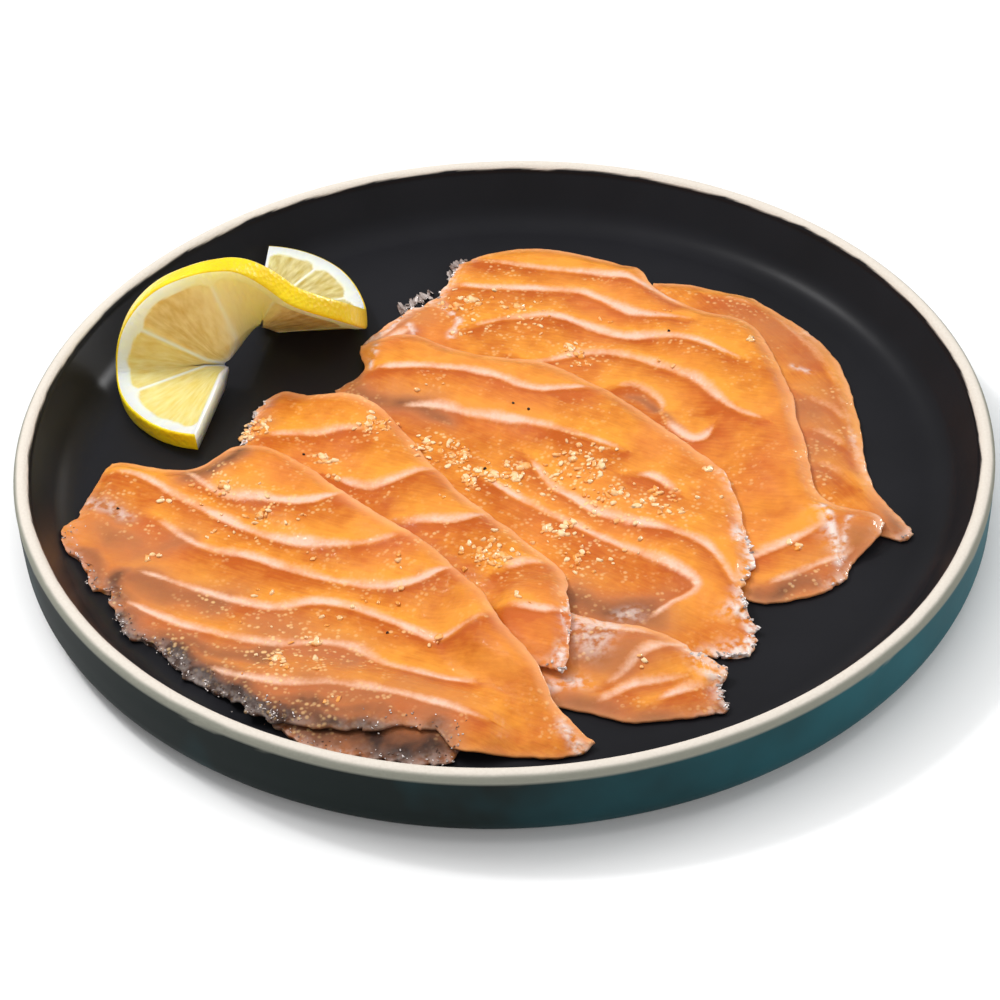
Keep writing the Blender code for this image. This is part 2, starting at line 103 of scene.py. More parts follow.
# Each slice from the bottom of the pile up: its edges, and the fat lines that cross it from left to right.
# thin lists strokes of see-through flesh, frayed lists torn stretches and tissue lists strokes of white
# tissue, some of them painted highlights, all as (strength, radius, points). pale is how white the torn
# tissue is, 1 unless given, and depth darkens the flesh.
SLICES = {
    "slice_rear": dict(
        grain=-62, fat_strength=0.5,
        back=[(42, 81), (56, 77), (70, 71), (81, 59), (90, 41), (93, 23), (94, -11), (103, -32)],
        front=[(41, 71), (51, 51), (63, 25), (75, -10), (89, -27), (99, -34)],
        fat=[[(79, 27), (87, 19), (90, 12)], [(78, 12), (84, 9), (89, 3)], [(78, -3), (84, -5), (90, -13)],
             [(58, 72), (70, 66), (79, 55), (87, 38), (90, 20), (91, -6)]],
        thin=[(0.45, 9, [(82, 20), (81, 0)]), (0.35, 12, [(72, 58), (84, 44)]),
              (0.8, 5, [(97, -27), (104, -33)])],
        frayed=[(0.4, 4, [(101, -32)]), (0.3, 5, [(84, 52)])],
        tissue=[(0.6, 1.2, [(78, 38), (83, 33)]), (0.35, 1.6, [(92, 8), (93, -2), (94, -10)])]),
    "slice_back": dict(
        grain=-18,
        back=[(-38, 55), (-33, 62), (-25, 72), (-17, 77), (-7, 94), (13, 98), (37, 88), (43, 75), (55, 63),
              (71, 51), (78, 9), (79, -16), (93, -25), (96, -30)],
        right=[(81, -51), (88, -39), (96, -30)],
        front=[(-37, 47), (-27, 42), (-6, 32), (15, 14), (34, -16), (48, -40), (60, -54), (81, -51)],
        fat=[[(-4, 93), (14, 87), (33, 81), (51, 65)],
             [(-13, 81), (-3, 79), (20, 76), (28, 71), (38, 62), (52, 57)],
             [(-8, 61), (4, 64), (16, 64), (31, 55), (50, 49), (64, 39)],
             [(3, 47), (9, 44), (28, 47), (47, 37), (60, 19), (68, 13)],
             [(29, 31), (35, 32), (39, 29), (42, 24), (42, 20)],
             [(43, 18), (44, 14), (48, 9), (52, 9), (55, 13)],
             [(-37, 54), (-32, 59), (-27, 65)], [(-33, 53), (-28, 58), (-23, 62)],
             [(56, -42), (71, -33), (80, -28)], [(62, -50), (80, -41), (88, -37)]],
        thin=[(0.45, 6, [(-34, 53), (-24, 67)]), (0.6, 2.4, [(32, 26), (37, 25), (40, 20)]),
              (0.5, 2, [(43, 17), (46, 12)]), (0.5, 8, [(83, -42), (88, -36)]),
              (0.75, 4, [(61, -53), (69, -51), (77, -49)])],
        frayed=[(0.8, 8, [(-24, 72), (-12, 88)]), (0.3, 5, [(94, -30)]), (0.5, 5, [(84, -49)])],
        # The first two tissue strokes are painted highlights: white glints on the tail rather than tissue.
        tissue=[(0.95, 1.7, [(78, -25), (79, -33), (81, -42)]), (0.8, 1.2, [(86, -28), (84, -34), (82, -40)]),
                (0.85, 1.1, [(-37, 53), (-32, 58), (-26, 66)]),
                (0.7, 1.0, [(-31, 52), (-26, 57), (-22, 62)]),
                (0.8, 1.3, [(-16, 70), (-13, 65), (-10, 57)])]),
    "slice_centre": dict(
        grain=-35,
        back=[(-39, 52), (-25, 56), (-10, 48), (15, 40), (38, 17), (53, -3), (60, -27)],
        left=[(-46, 37), (-37, 41), (-39, 52)],
        right=[(55, -75), (60, -65), (57, -54), (60, -45), (60, -27)],
        front=[(-46, 37), (-32, 8), (-19, -17), (-7, -35), (21, -66), (40, -72), (55, -75)],
        fat=[[(-35, 41), (-18, 40), (-4, 36), (9, 29), (25, 29)],
             [(-29, 27), (-18, 26), (-6, 21), (14, 12), (31, 2)],
             [(6, 4), (14, -11), (30, -25), (48, -35), (56, -52)],
             [(-6, -4), (7, -16), (18, -25), (29, -34), (39, -41), (46, -50), (39, -55), (33, -61)],
             [(32, -8), (38, -9), (44, -16)]],
        # The first thin stroke is partly see-through flesh and partly painted shade beside the back edge of
        # slice_middle, which lies over it.
        thin=[(0.75, 5, [(-38, 33), (-31, 29), (-24, 25), (-16, 20)]), (0.9, 4, [(-47, 37), (-40, 39)]),
              (0.85, 8, [(17, -54), (25, -57), (34, -59)])],
        frayed=[(1.0, 5, [(60, -36), (58, -50)]), (1.0, 8, [(58, -62), (55, -74)])],
        tissue=[(0.8, 1.1, [(-39, 43), (-37, 50)]), (0.7, 1.0, [(-33, 42), (-31, 50)]),
                (0.8, 1.6, [(55, -6), (58, -15), (60, -27)]), (1.0, 1.8, [(59, -30), (59, -38), (58, -51)]),
                (0.95, 2.5, [(55, -62), (56, -67), (54, -73)]), (0.45, 2.5, [(25, -60), (31, -59)])]),
    "slice_tail": dict(
        grain=10,
        back=[(6, -55), (16, -59), (35, -67), (53, -81)],
        right=[(52, -92), (49, -87), (53, -81)],
        front=[(2, -84), (19, -91), (28, -95), (40, -94), (52, -92)],
        fat=[[(20, -84), (26, -80), (33, -74), (44, -72)], [(18, -89), (24, -86), (30, -83), (41, -82)],
             [(33, -90), (38, -87), (47, -84)], [(16, -62), (26, -66), (36, -69)]],
        thin=[(0.6, 8, [(20, -72), (30, -75)]), (0.7, 5, [(6, -86), (19, -91), (28, -95), (40, -94)]),
              (0.9, 4, [(50, -91)])],
        frayed=[(1.0, 6, [(52, -88), (52, -82)]), (0.8, 6, [(46, -75)]), (0.7, 6, [(14, -66)])],
        tissue=[(0.55, 4.5, [(17, -62), (21, -68)]), (0.7, 2.5, [(9, -80), (17, -82)]),
                (0.9, 2.5, [(45, -76), (50, -82)])]),
    "slice_middle": dict(
        grain=-22, depth=0.06,
        back=[(-67, 26), (-58, 37), (-49, 32), (-34, 26), (-19, 1), (-4, -21), (12, -41), (15, -55)],
        front=[(-69, 16), (-63, -2), (-39, -27), (-17, -48), (-3, -70), (13, -82)],
        fat=[[(-63, 17), (-56, 17), (-44, 16), (-35, 15)], [(-45, -1), (-34, -7), (-22, -3), (-18, -2)],
             [(-28, -21), (-14, -24), (-4, -21)], [(-3, -44), (3, -41), (10, -41)],
             [(-2, -58), (9, -61), (14, -61)]],
        thin=[(0.3, 6, [(-64, 22)])],
        frayed=[(0.5, 5, [(-62, 31)]), (0.8, 6, [(-69, 15), (-67, 24)]), (0.6, 5, [(14, -66)]),
                (0.7, 5, [(13, -80)])],
        tissue=[(0.9, 1.3, [(14, -60), (14, -66)]), (0.9, 1.3, [(13, -73), (13, -81)])]),
    "slice_sliver": dict(
        grain=-12, pale=0.25,
        back=[(-60, -79), (-41, -82), (-10, -92)],
        front=[(-58, -88), (-48, -101), (-27, -105), (-14, -105)],
        fat=[],
        thin=[(1.0, 14, [(-56, -86), (-40, -94), (-26, -100)]), (0.7, 9, [(-14, -100)])],
        frayed=[(1.0, 8, [(-56, -90), (-46, -101), (-14, -105)])]),
    "slice_front": dict(
        grain=-26, pale=0.25,
        back=[(-103, 10), (-83, 6), (-63, 11), (-41, -11), (-14, -41), (-2, -65), (13, -95), (20, -103)],
        left=[(-96, -55), (-100, -44), (-106, -37), (-111, -22), (-108, -5), (-103, 10)],
        front=[(-96, -55), (-86, -64), (-72, -80), (-58, -91), (-41, -96), (-21, -96), (-13, -104),
               (12, -106)],
        fat=[[(-84, 5), (-75, -5), (-66, -10), (-53, -14), (-41, -11)],
             [(-103, 5), (-94, 2), (-83, -8), (-66, -21), (-48, -29), (-33, -31), (-25, -30)],
             [(-91, -15), (-86, -19), (-77, -27), (-62, -33), (-43, -42), (-26, -47), (-13, -43)],
             [(-94, -35), (-76, -44), (-59, -51), (-45, -50), (-29, -58), (-17, -66), (-4, -64)],
             [(-96, -46), (-78, -57), (-59, -64), (-40, -66), (-29, -74), (-9, -82)],
             [(-75, -71), (-58, -80), (-42, -82), (-26, -87), (-6, -96)]],
        thin=[(1.0, 4.5, [(-82, 4), (-74, 4), (-69, 8)]), (0.55, 5, [(-103, -9), (-99, -13)]),
              (0.5, 8, [(-101, -21), (-93, -27), (-86, -25)]),
              (0.6, 6.5, [(-94, -39), (-84, -44), (-72, -46)]),
              (0.95, 4.5, [(-98, -37), (-97, -43)]), (0.75, 4, [(-108, -26), (-103, -38)]),
              (0.45, 8, [(-60, -60), (-40, -70)]), (0.5, 9, [(-60, -78), (-40, -84), (-20, -92)]),
              (0.72, 5.5, [(-94, -51), (-83, -59), (-72, -65), (-62, -69)]),
              (0.8, 5, [(-95, -52), (-86, -61), (-75, -71), (-64, -81), (-55, -87), (-43, -90), (-30, -92)]),
              (1.2, 7, [(-97, -52), (-90, -59), (-82, -66), (-76, -74), (-70, -83), (-54, -94)]),
              (1.1, 8, [(-54, -94), (-38, -98), (-24, -99)])],
        frayed=[(1.0, 8, [(-109, -22), (-103, -40)]),
                (1.0, 7, [(-97, -54), (-84, -66), (-70, -82), (-54, -92)]),
                (0.6, 6, [(-36, -97), (-24, -97)])],
        tissue=[(0.8, 2.0, [(12, -95), (18, -102)]), (0.5, 2.5, [(-104, -9), (-99, -11)])]),
}
FAT_WIDTH = 1.25                # half width at which a fat line has faded to a third
FAT_FAR_SIDE = 1.45             # how much wider a line fades out on its far side
FAT_NEAR_SIDE = 0.7
FAT_SPACING = 0.5               # of the points along a line
FAT_SWAY = 0.4                  # how far a line sways from its rounded course
FAT_TAPER = (0.45, 0.75)        # share of the width at a line's ends, and what its middle adds
FAT_UNEVEN = 0.3                # how much its width and strength vary
FAT_ENDS = (7, 6)               # over which it comes up at its left end and fades out at its right end
FAT_LEFT = 0.35                 # strength left at its right end
PAST_END = 4                    # how many times more a distance past a line's end counts
TERRACE = 0.17                  # half the step in the surface at a fat line
CREASE_OFFSET = 1.5             # from the middle of a fat line to the crease on its near side
CREASE_WIDTH = 0.6
CREASE_DEPTH = 0.05
STEP_SOFTNESS = 1.9             # half the width of the slope past a fat line
TERRACE_REACH = 13.0            # how far a band of muscle takes to rise again
RIPPLE = 0.28                   # height of the slow waves in a slice
DIMPLES = 0.12
OUTLINE_WANDER = 0.8
OUTLINE_SHAKE = (0.2, 1.1)      # raggedness of a clean edge, and what a torn one adds
MARK_DRIFT = 3.5                # how far the outlines of the marks wander
RIM_PALE = (0.8, 2.2)           # strength and reach of the pale rim along a slice's far edge
CUT_PALE = (0.4, 0.8)           # and of the one round its other cut edges
RIM_UNEVEN = (0.8, 0.4)         # even share of the far rim's paleness, and the share that varies
FROST_REACH = 2.5
OIL = (0.75, 0.3)               # strength and spread of the fine oil drops and crumbs below each fat line
SHAKE_REACH = 3.0               # how far in from a torn edge the raggedness goes
TREMOR = 0.7                    # height of its finer part, as a share of the coarse one
# Noise fields as (size, seed)
DRIFT_FIELDS = ((8, 25), (8, 26))
SHAKE_FIELDS = ((3.1, 21), (3.1, 22))
TREMOR_FIELDS = ((1.5, 23), (1.5, 24))
WANDER_FIELDS = ((11, 27), (11, 28))
RIPPLE_FIELD = (17, 31)
DIMPLE_FIELD = (6, 32)
RIM_FIELD = (9, 33)
OIL_FIELD = (9, 34)
# Grain of the flesh as (size in metres, detail)
SALMON_GRAIN = dict(blush=(0.022, 2.0), cloud=(0.012, 3.0), dimple=(0.0035, 2.0), curd=(0.0022, 2.0),
                    beads=(0.0016, 0.0), speck=(0.0009, 2.0))
# Where some of it begins and is full, and its most
SALMON_RANGES = (("dots", 0.45, 0.2, 1.0), ("sparse", 0.44, 0.54, 1.0), ("blush", 0.45, 0.7, 0.3),
                 ("curd", 0.38, 0.6, 1.0))
STRAND = (0.005, 0.0008)        # metres along and across a muscle strand
DOT_SPACING = 0.0015            # metres between the finest crumbs and oil drops
# Thin flesh with the dark glaze showing through: from, to, strength and colour
THIN_STAGES = ((0.0, 0.45, 0.75, "#BF7448"), (0.4, 0.85, 0.85, "#885438"), (0.8, 1.1, 0.9, "#2B2220"))

# Lemon slice, millimetres: cut along one radius and twisted, so that its two ends lie flat
LEMON_RADIUS = 30.5
LEMON_THICKNESS = 5.5
LEMON_CORE = 1.6                # radius of the core, left open
LEMON_PINCH = 0.42              # half the thickness near the core, as a share of the radius
LEMON_REST = FLOOR_TOP + 0.35   # height of the slice's lowest point
LEMON_FRONT_CENTRE = (-72.0, 41.0, 0.0)
LEMON_BACK_CENTRE = (-66.4, 63.4, -3.5)
LEMON_SHIFT = (150, 215)        # degrees round the slice over which its centre steps from front to back
# Directions from the slice's centre to its rim, by degrees round the slice
LEMON_RAYS = {
    0: (-0.26, -0.94, -0.10), 45: (-0.70, -0.68, -0.12), 90: (-1.00, 0.00, -0.04), 135: (-0.72, 0.12, 0.68),
    160: (-0.27, 0.08, 0.96), 180: (-0.06, -0.12, 0.99), 220: (0.42, -0.57, 0.71), 270: (1.00, 0.03, 0.00),
    315: (0.73, 0.68, 0.04), 360: (0.10, 0.99, 0.08)}
LEMON_STEPS = (480, 56)         # points round the slice and from its core to its rim
# Rounding of the peel, as (distance in from the rim, share of the thickness)
LEMON_EDGE = ((0.6, 1.0), (0.35, 0.97), (0.15, 0.88), (0.03, 0.72), (0.0, 0.4), (0.0, 0.0))
PITH_WIDTH = 3.0
PITH_BLEND = 0.7
PITH_WAVES = (0.5, 2.5, 71)     # height, size and seed of the waves in the pith's edge
PITH_CORNER = (1.5, 2.2)        # how far the pith runs in along a skin, and over what breadth
PITH_AT_CUT = 1.9               # width of the pith along the radial cut, in blends
PULP_SUNK = 0.22                # how far the cut pulp lies below its skins
SKIN_WIDTH = 0.45               # half width at which a skin has faded to a third
SKIN_SLOPE = 1.5                # over which the pulp sinks beside a skin
CORE_SKIN = 2.2                 # the same for the skins' meeting at the core
PEEL_WIDTH = 0.9
POLAR_RADIUS = 20               # at which an angle becomes a length for the grain of the pulp
# Degrees round the slice
SEGMENTS = (0, 68, 122, 166, 212, 252, 290, 324, 360)   # skins between the segments
CLEAR_FRONT = (122, 172, 8, 8)  # from, to, and both blends, of the clearer pulp where the slice turns up
CLEAR_STRENGTH = 0.5
CLEAR_BACK = (215, 10)          # from, and blend, of the clear pulp of the back half
# The part that stands up is painted lighter as glow through the slice, and its pith painted warmer as shade.
ARCH = (145, 235, 25, 30)       # from, to, and both blends, of the part that stands up

# Crumbs, millimetres: loose clusters as (slice, x, y, radius, count)
CRUMB_CLUSTERS = [
    ("slice_centre", -12, 5, 3.5, 6), ("slice_centre", -8, -4, 3, 5), ("slice_centre", -20, 9, 3, 3),
    ("slice_centre", 12, -26, 5, 3), ("slice_centre", 19, -38, 4, 3), ("slice_middle", -33, 16, 4, 4),
    ("slice_centre", 2, -5, 5, 3), ("slice_centre", 19, -4, 7, 7), ("slice_centre", 26, -15, 5, 3),
    ("slice_centre", 39, -20, 6, 3), ("slice_middle", -4, -38, 5, 5), ("slice_middle", -47, 5, 2, 2),
    ("slice_middle", -65, 20, 3, 5), ("slice_front", -62, -16, 5, 2), ("slice_front", -74, -5, 5, 2),
    ("slice_front", -54, -68, 9, 3), ("slice_back", -9, 72, 6, 3), ("slice_back", 8, 66, 5, 2),
    ("slice_back", 20, 47, 4, 2)]
# Smaller chips on their own
CRUMB_SINGLES = [
    (50, -8), (33, -35), (0, -2), (-19, 33), (-12, 11), (-43, -2), (-66, 20), (-17, -16), (3, -57),
    (-51, -19), (-75, -22), (-49, -33), (-44, -57), (-4, 59), (46, 62), (14, 2), (24, -6), (-9, 1),
    (-71, -23), (-87, -32), (-27, -40), (-20, -66), (-43, -88), (-29, -51), (-37, -50), (-10, 59),
    (-2, 77), (70, -35), (68, 44), (31, -77), (-60, -45), (-88, -8), (44, 40), (30, 60)]
CRUMB_RADIUS = 1.15             # most for a chip on a large crumb, before it is stretched
CRUMB_SPACING = 3.6             # least distance between two large crumbs on one slice
CRUMB_SEED = 11
CRUMB_TINTS = (-0.1, 1.1)
# Heaps of chips as (spread, count, least and most size): for a large crumb, as shares of CRUMB_RADIUS; for
# each crumb of a cluster, with the spread as a share of the cluster's radius; and for a single place
CRUMB_HEAP = (0.8, 4, (0.5, 1.0))
CLUSTER_HEAP = (0.7, 6, (0.25, 0.8))
SINGLE_HEAP = (1.5, 3, (0.25, 0.9))
CHIP_STRETCH = ((0.9, 0.5, 0.35), (1.5, 0.9, 0.6))   # least and most along, across and up, of a chip's radius
CHIP_SINK = 0.1                 # height of a chip's middle above the flesh
CHIP_DENTS = 0.36               # depth of the dents, as a share of the radius
DENT_SCALES = (1.3, 3.1)        # how many broad and how many fine dents a radius takes
FINE_DENTS = 0.6                # depth of the fine ones, as a share of the broad ones
CHIP_TILT = 0.35                # radians
BIT_CLOUD = 0.0015              # metres across a cloud inside a chip or a shred
PEPPER = [(-99, -11), (3, 23), (7, 20), (-5, -1), (-30, -62), (46, 52), (-52, 8)]
PEPPER_SIZE = (0.42, 0.32, 0.25)
PEPPER_SEED = 3

# Shreds of torn tissue, millimetres: least and most half sizes along, across and up
FLAP_DENSITY = 0.45             # flaps at each place of a fully torn edge
SPECK_DENSITY = 0.9             # and specks there, where the edge is glassy
FRINGE_FLAPS = ((0.3, 0.25, 0.12), (0.85, 0.5, 0.2))
FRINGE_SPECKS = ((0.12, 0.1, 0.08), (0.42, 0.2, 0.14))
FLAP_REACH = (-1.6, 0.2)        # how far from the slice's edge they lie, outwards
SPECK_REACH = (-4.5, 0.2)
SPECK_SCATTER = 0.5             # how far a speck is shifted any way
FLAP_TINTS = (0.2, 1.0)
# The palest speck tints are painted highlights, glints on the wet margin.
SPECK_TINTS = (-0.2, 1.1)
FRINGE_RISE = (-0.08, 0.04)     # height of a shred's middle above the flesh
FRINGE_TURN = 1.1               # radians that a shred's heading strays from outwards
FRINGE_SEED = 8
FRINGE_START = 0.35             # least strength of tearing that leaves shreds
# Fins of longer strips behind the pile: from, to, heading in degrees, half length and count
TUFTS = [((-27.0, 73.0), (-18.5, 80.5), 100, 2.6, 18), ((-13.5, 88.5), (-8.5, 95.5), 108, 1.6, 10)]
TUFT_TAPER = 0.1
TUFT_LENGTHS = (0.7, 1.05)      # as shares of a fin's half length
TUFT_WIDTHS = (0.4, 0.55)
TUFT_DEPTH = 0.12
TUFT_RISE = (0.1, 0.4)
TUFT_TINTS = (0.1, 0.5)
TUFT_SCATTER = 0.2
TUFT_TURN = 4                   # degrees

# Studio lights: position, width, height, watts, and whether they light matt surfaces and show in shiny ones
LIGHTS = {
    "key": ((-0.75, 0.45, 1.15), 0.6, 0.6, 7.0, True, False),
    "spark": ((-0.75, 0.45, 1.15), 0.12, 0.12, 5.0, True, True),
    "top": ((-0.1, 0.1, 1.6), 1.2, 1.2, 10.5, True, False),
    "side": ((1.1, 0.5, 0.8), 0.4, 0.8, 2.5, True, True),
    "front": ((0.3, -1.3, 0.9), 1.0, 0.8, 6.0, True, False),
    "window": ((0.83, 0.66, 0.42), 0.3, 0.3, 8.0, False, True),
}
WORLD_STRENGTH = 0.32
FLOOR_SIZE = 8.0

NOISE_CELLS = 64                # cells after which the noise repeats


def read_map(heights, places):
    """Height at plan positions, between the map's cells."""
    grid = (places + MAP_HALF) / CELL
    low = np.floor(grid).astype(int)
    x, y = low[..., 0], low[..., 1]
    fx, fy = np.moveaxis(grid - low, -1, 0)
    return ((1 - fx) * (1 - fy) * heights[x, y] + fx * (1 - fy) * heights[x + 1, y]
            + (1 - fx) * fy * heights[x, y + 1] + fx * fy * heights[x + 1, y + 1])


def smooth_step(value):
    value = np.clip(value, 0, 1)
    return value * value * (3 - 2 * value)


def noise(places, size, seed):
    """Smooth noise between -1 and 1 over plan positions, in cells of a given size."""
    lattice = np.random.default_rng(seed).uniform(-1, 1, (NOISE_CELLS, NOISE_CELLS))
    grid = np.asarray(places) / size
    low = np.floor(grid).astype(int)
    x, y = np.moveaxis(low % NOISE_CELLS, -1, 0)
    fx, fy = np.moveaxis(smooth_step(grid - low), -1, 0)
    x2, y2 = (x + 1) % NOISE_CELLS, (y + 1) % NOISE_CELLS
    return ((1 - fx) * (1 - fy) * lattice[x, y] + fx * (1 - fy) * lattice[x2, y]
            + (1 - fx) * fy * lattice[x, y2] + fx * fy * lattice[x2, y2])


def noises(places, *fields):
    """Noise fields, each (size, seed), side by side."""
    return np.stack([noise(places, *field) for field in fields], -1)


# Meshes

def numbers(collection, name, width, kind=float):
    """One property of every item of a mesh's collection, as rows of an array."""
    values = np.zeros(len(collection) * width, kind)
    collection.foreach_get(name, values)
    return values.reshape(-1, width) if width > 1 else values


def add_mark(mesh, name, values):
    """Names a value for each point of a mesh, which its material reads."""
    mesh.attributes.new(name, "FLOAT", "POINT").data.foreach_set("value", values.astype(np.float32))


def read_mark(mesh, name):
    return numbers(mesh.attributes[name].data, "value", 1, np.float32)


def closed_sheet(name, lower, upper, marks):
    """A closed body between two like grids of points: a grid primitive, extruded once and shaped.

    marks gives named values for each point of the grid, which the materials read.
    """
    across, deep = lower.shape[0] - 1, lower.shape[1] - 1
    bpy.ops.object.select_all(action="DESELECT")
    bpy.ops.mesh.primitive_grid_add(x_subdivisions=across, y_subdivisions=deep, size=1.0)
    piece = bpy.context.object
    piece.name = name
    bpy.ops.object.mode_set(mode="EDIT")
    bpy.ops.mesh.select_all(action="SELECT")
    bpy.ops.mesh.extrude_region()
    bpy.ops.object.mode_set(mode="OBJECT")
    mesh = piece.data
    places = numbers(mesh.vertices, "co", 3)
    i = np.round((places[:, 0] + 0.5) * across).astype(int)
    j = np.round((places[:, 1] + 0.5) * deep).astype(int)
    raised = numbers(mesh.vertices, "select", 1, bool)
    places = np.where(raised[:, None], upper[i, j], lower[i, j]) * MM
    mesh.vertices.foreach_set("co", places.ravel())
    for mark, values in marks.items():
        add_mark(mesh, mark, values[i, j])
    bpy.ops.object.mode_set(mode="EDIT")
    bpy.ops.mesh.select_all(action="SELECT")
    bpy.ops.mesh.remove_doubles(threshold=0.002 * MM)
    bpy.ops.mesh.normals_make_consistent(inside=False)
    bpy.ops.object.mode_set(mode="OBJECT")
    bpy.ops.object.shade_smooth()
    return piece


def place_piece(piece, slot, *nodes):
    """Hands a finished piece over: it rides on the one body and stands for the nodes named."""
    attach(piece, "root")
    if nodes:
        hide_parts(*nodes)


# Materials

def colour(code):
    """Linear colour of an sRGB hex value."""
    parts = [int(code[k:k + 2], 16) / 255 for k in (1, 3, 5)]
    return (*[p / 12.92 if p <= 0.04045 else ((p + 0.055) / 1.055) ** 2.4 for p in parts], 1.0)


def new_material(name):
    material = bpy.data.materials.new(name)
    material.use_nodes = True
    return material, material.node_tree, material.node_tree.nodes["Principled BSDF"]


def add(tree, kind, inputs, **settings):
    """Adds a node, sets its properties, and fills or links its inputs."""
    made = tree.nodes.new("ShaderNode" + kind)
    for key, value in settings.items():
        setattr(made, key, value)
    for key, value in inputs.items():
        if isinstance(value, bpy.types.NodeSocket):
            tree.links.new(value, made.inputs[key])
        else:
            made.inputs[key].default_value = value
    return made


def connect(tree, shader, **inputs):
    """Fills or links inputs of a shader, named with underscores for spaces."""
    for key, value in inputs.items():
        socket = shader.inputs[key.replace("_", " ")]
        if isinstance(value, bpy.types.NodeSocket):
            tree.links.new(value, socket)
        else:
            socket.default_value = value


def salmon_layers(tree):
    """The marks on a slice and the grain of its flesh, by name."""
    place = add(tree, "TexCoord", {}).outputs["Object"]
    flow = add(tree, "UVMap", {}, uv_map="flow").outputs["UV"]
    layers = {name: add(tree, "Attribute", {}, attribute_name=name).outputs["Fac"]
              for name in ("fat", "crease", "tone_and_step_shade", "thin", "rim", "frost", "grit")}
    for name, (size, detail) in SALMON_GRAIN.items():
        grain = add(tree, "TexNoise", {"Vector": place, "Scale": 1 / size, "Detail": detail})
        layers[name] = grain.outputs["Fac"]
    strands = add(tree, "Mapping", {0: flow, "Scale": (1 / STRAND[0], 1 / STRAND[1], 1.0)}).outputs[0]
    layers["strand"] = add(tree, "TexNoise", {"Vector": strands, "Scale": 1.0, "Detail": 2.0}).outputs["Fac"]
    dots = add(tree, "TexVoronoi", {"Vector": place, "Scale": 1 / DOT_SPACING})
    layers.update(dots=dots.outputs["Distance"], sparse=layers["dimple"])
    for name, low, high, most in SALMON_RANGES:
        layers[name] = add(tree, "MapRange", {"Value": layers[name], "From Min": low, "From Max": high,
                                              "To Max": most}).outputs[0]
    for name, share in (("dots", "sparse"), ("dots", "grit"), ("curd", "frost")):
        layers[name] = add(tree, "Math", {0: layers[name], 1: layers[share]}, operation="MULTIPLY",
                           use_clamp=True).outputs[0]
    return layers


def salmon_colour(tree, layers):
    """Orange flesh in bands, darker below each fat line partly as painted shade, the dark plate showing
    through it, fat lines, oil drops and torn tissue.
    """
    tone_and_step_shade, fat = layers["tone_and_step_shade"], layers["fat"]
    for name, weight in (("cloud", 0.9), ("strand", 0.4), ("dimple", 0.5)):
        tone_and_step_shade = add(tree, "Math", {0: layers[name], 1: weight, 2: tone_and_step_shade}, operation="MULTIPLY_ADD").outputs[0]
    for name, weight in (("dimple", 0.5), ("speck", 0.35)):
        fat = add(tree, "Math", {0: layers[name], 1: weight, 2: fat}, operation="MULTIPLY_ADD").outputs[0]
    tone_and_step_shade = add(tree, "MapRange", {"Value": tone_and_step_shade, "From Min": 1.0, "From Max": 1.75}).outputs[0]
    fat = add(tree, "MapRange", {"Value": fat, "From Min": 0.66, "From Max": 1.38, "To Max": 0.95}).outputs[0]
    # The creases on the near side of the fat lines are painted darker as shade, besides the groove cut into
    # the surface.
    crease = add(tree, "Math", {0: layers["crease"], 1: 0.4}, operation="MULTIPLY").outputs[0]
    thin = add(tree, "Math", {0: layers["cloud"], 1: 1.2, 2: 0.4}, operation="MULTIPLY_ADD").outputs[0]
    thin = add(tree, "Math", {0: thin, 1: layers["thin"]}, operation="MULTIPLY").outputs[0]
    veils = [(add(tree, "MapRange", {"Value": thin, "From Min": first, "From Max": last,
                                     "To Max": share}).outputs[0], colour(code))
             for first, last, share, code in THIN_STAGES]
    line = add(tree, "Mix", {0: fat, 6: colour("#F2AE80"), 7: colour("#F1C8B0")}, data_type="RGBA").outputs[2]
    # Deep orange below each fat line to bright towards the next: partly the flesh's own tone, partly painted
    # shade of the steps in the surface.
    flesh = add(tree, "Mix", {0: tone_and_step_shade, 6: colour("#BF5A12"), 7: colour("#F19D36")},
                data_type="RGBA").outputs[2]
    # The pale curd colour of the tissue strokes also paints a few glints as highlights.
    for share, paint in ((layers["blush"], colour("#E8824C")), (crease, colour("#B2540E")), *veils,
                         (layers["rim"], colour("#FDB27A")), (fat, line),
                         (layers["dots"], colour("#FFD090")), (layers["curd"], colour("#F1E2DA"))):
        flesh = add(tree, "Mix", {0: share, 6: flesh, 7: paint}, data_type="RGBA").outputs[2]
    return flesh


def salmon_relief(tree, layers):
    """Normals of the flesh, and of the wet film over it, which breaks up on thin and torn flesh."""
    height = film = layers["dimple"]
    for name, weight in (("strand", 0.2), ("speck", 0.4), ("dots", 1.2), ("curd", 1.5)):
        height = add(tree, "Math", {0: layers[name], 1: weight, 2: height},
                     operation="MULTIPLY_ADD").outputs[0]
    broken = add(tree, "Math", {0: layers["thin"], 1: 0.35}, operation="MULTIPLY").outputs[0]
    broken = add(tree, "Math", {0: broken, 1: layers["frost"]}, operation="MAXIMUM").outputs[0]
    broken = add(tree, "Math", {0: broken, 1: layers["speck"]}, operation="MULTIPLY").outputs[0]
    for layer, weight in ((layers["beads"], 0.55), (layers["dots"], 0.8), (broken, 1.8)):
        film = add(tree, "Math", {0: layer, 1: weight, 2: film}, operation="MULTIPLY_ADD").outputs[0]
    bump = add(tree, "Bump", {"Height": height, "Strength": 0.5, "Distance": 0.00045}).outputs[0]
    return bump, add(tree, "Bump", {"Height": film, "Strength": 0.6, "Distance": 0.0005}).outputs[0]


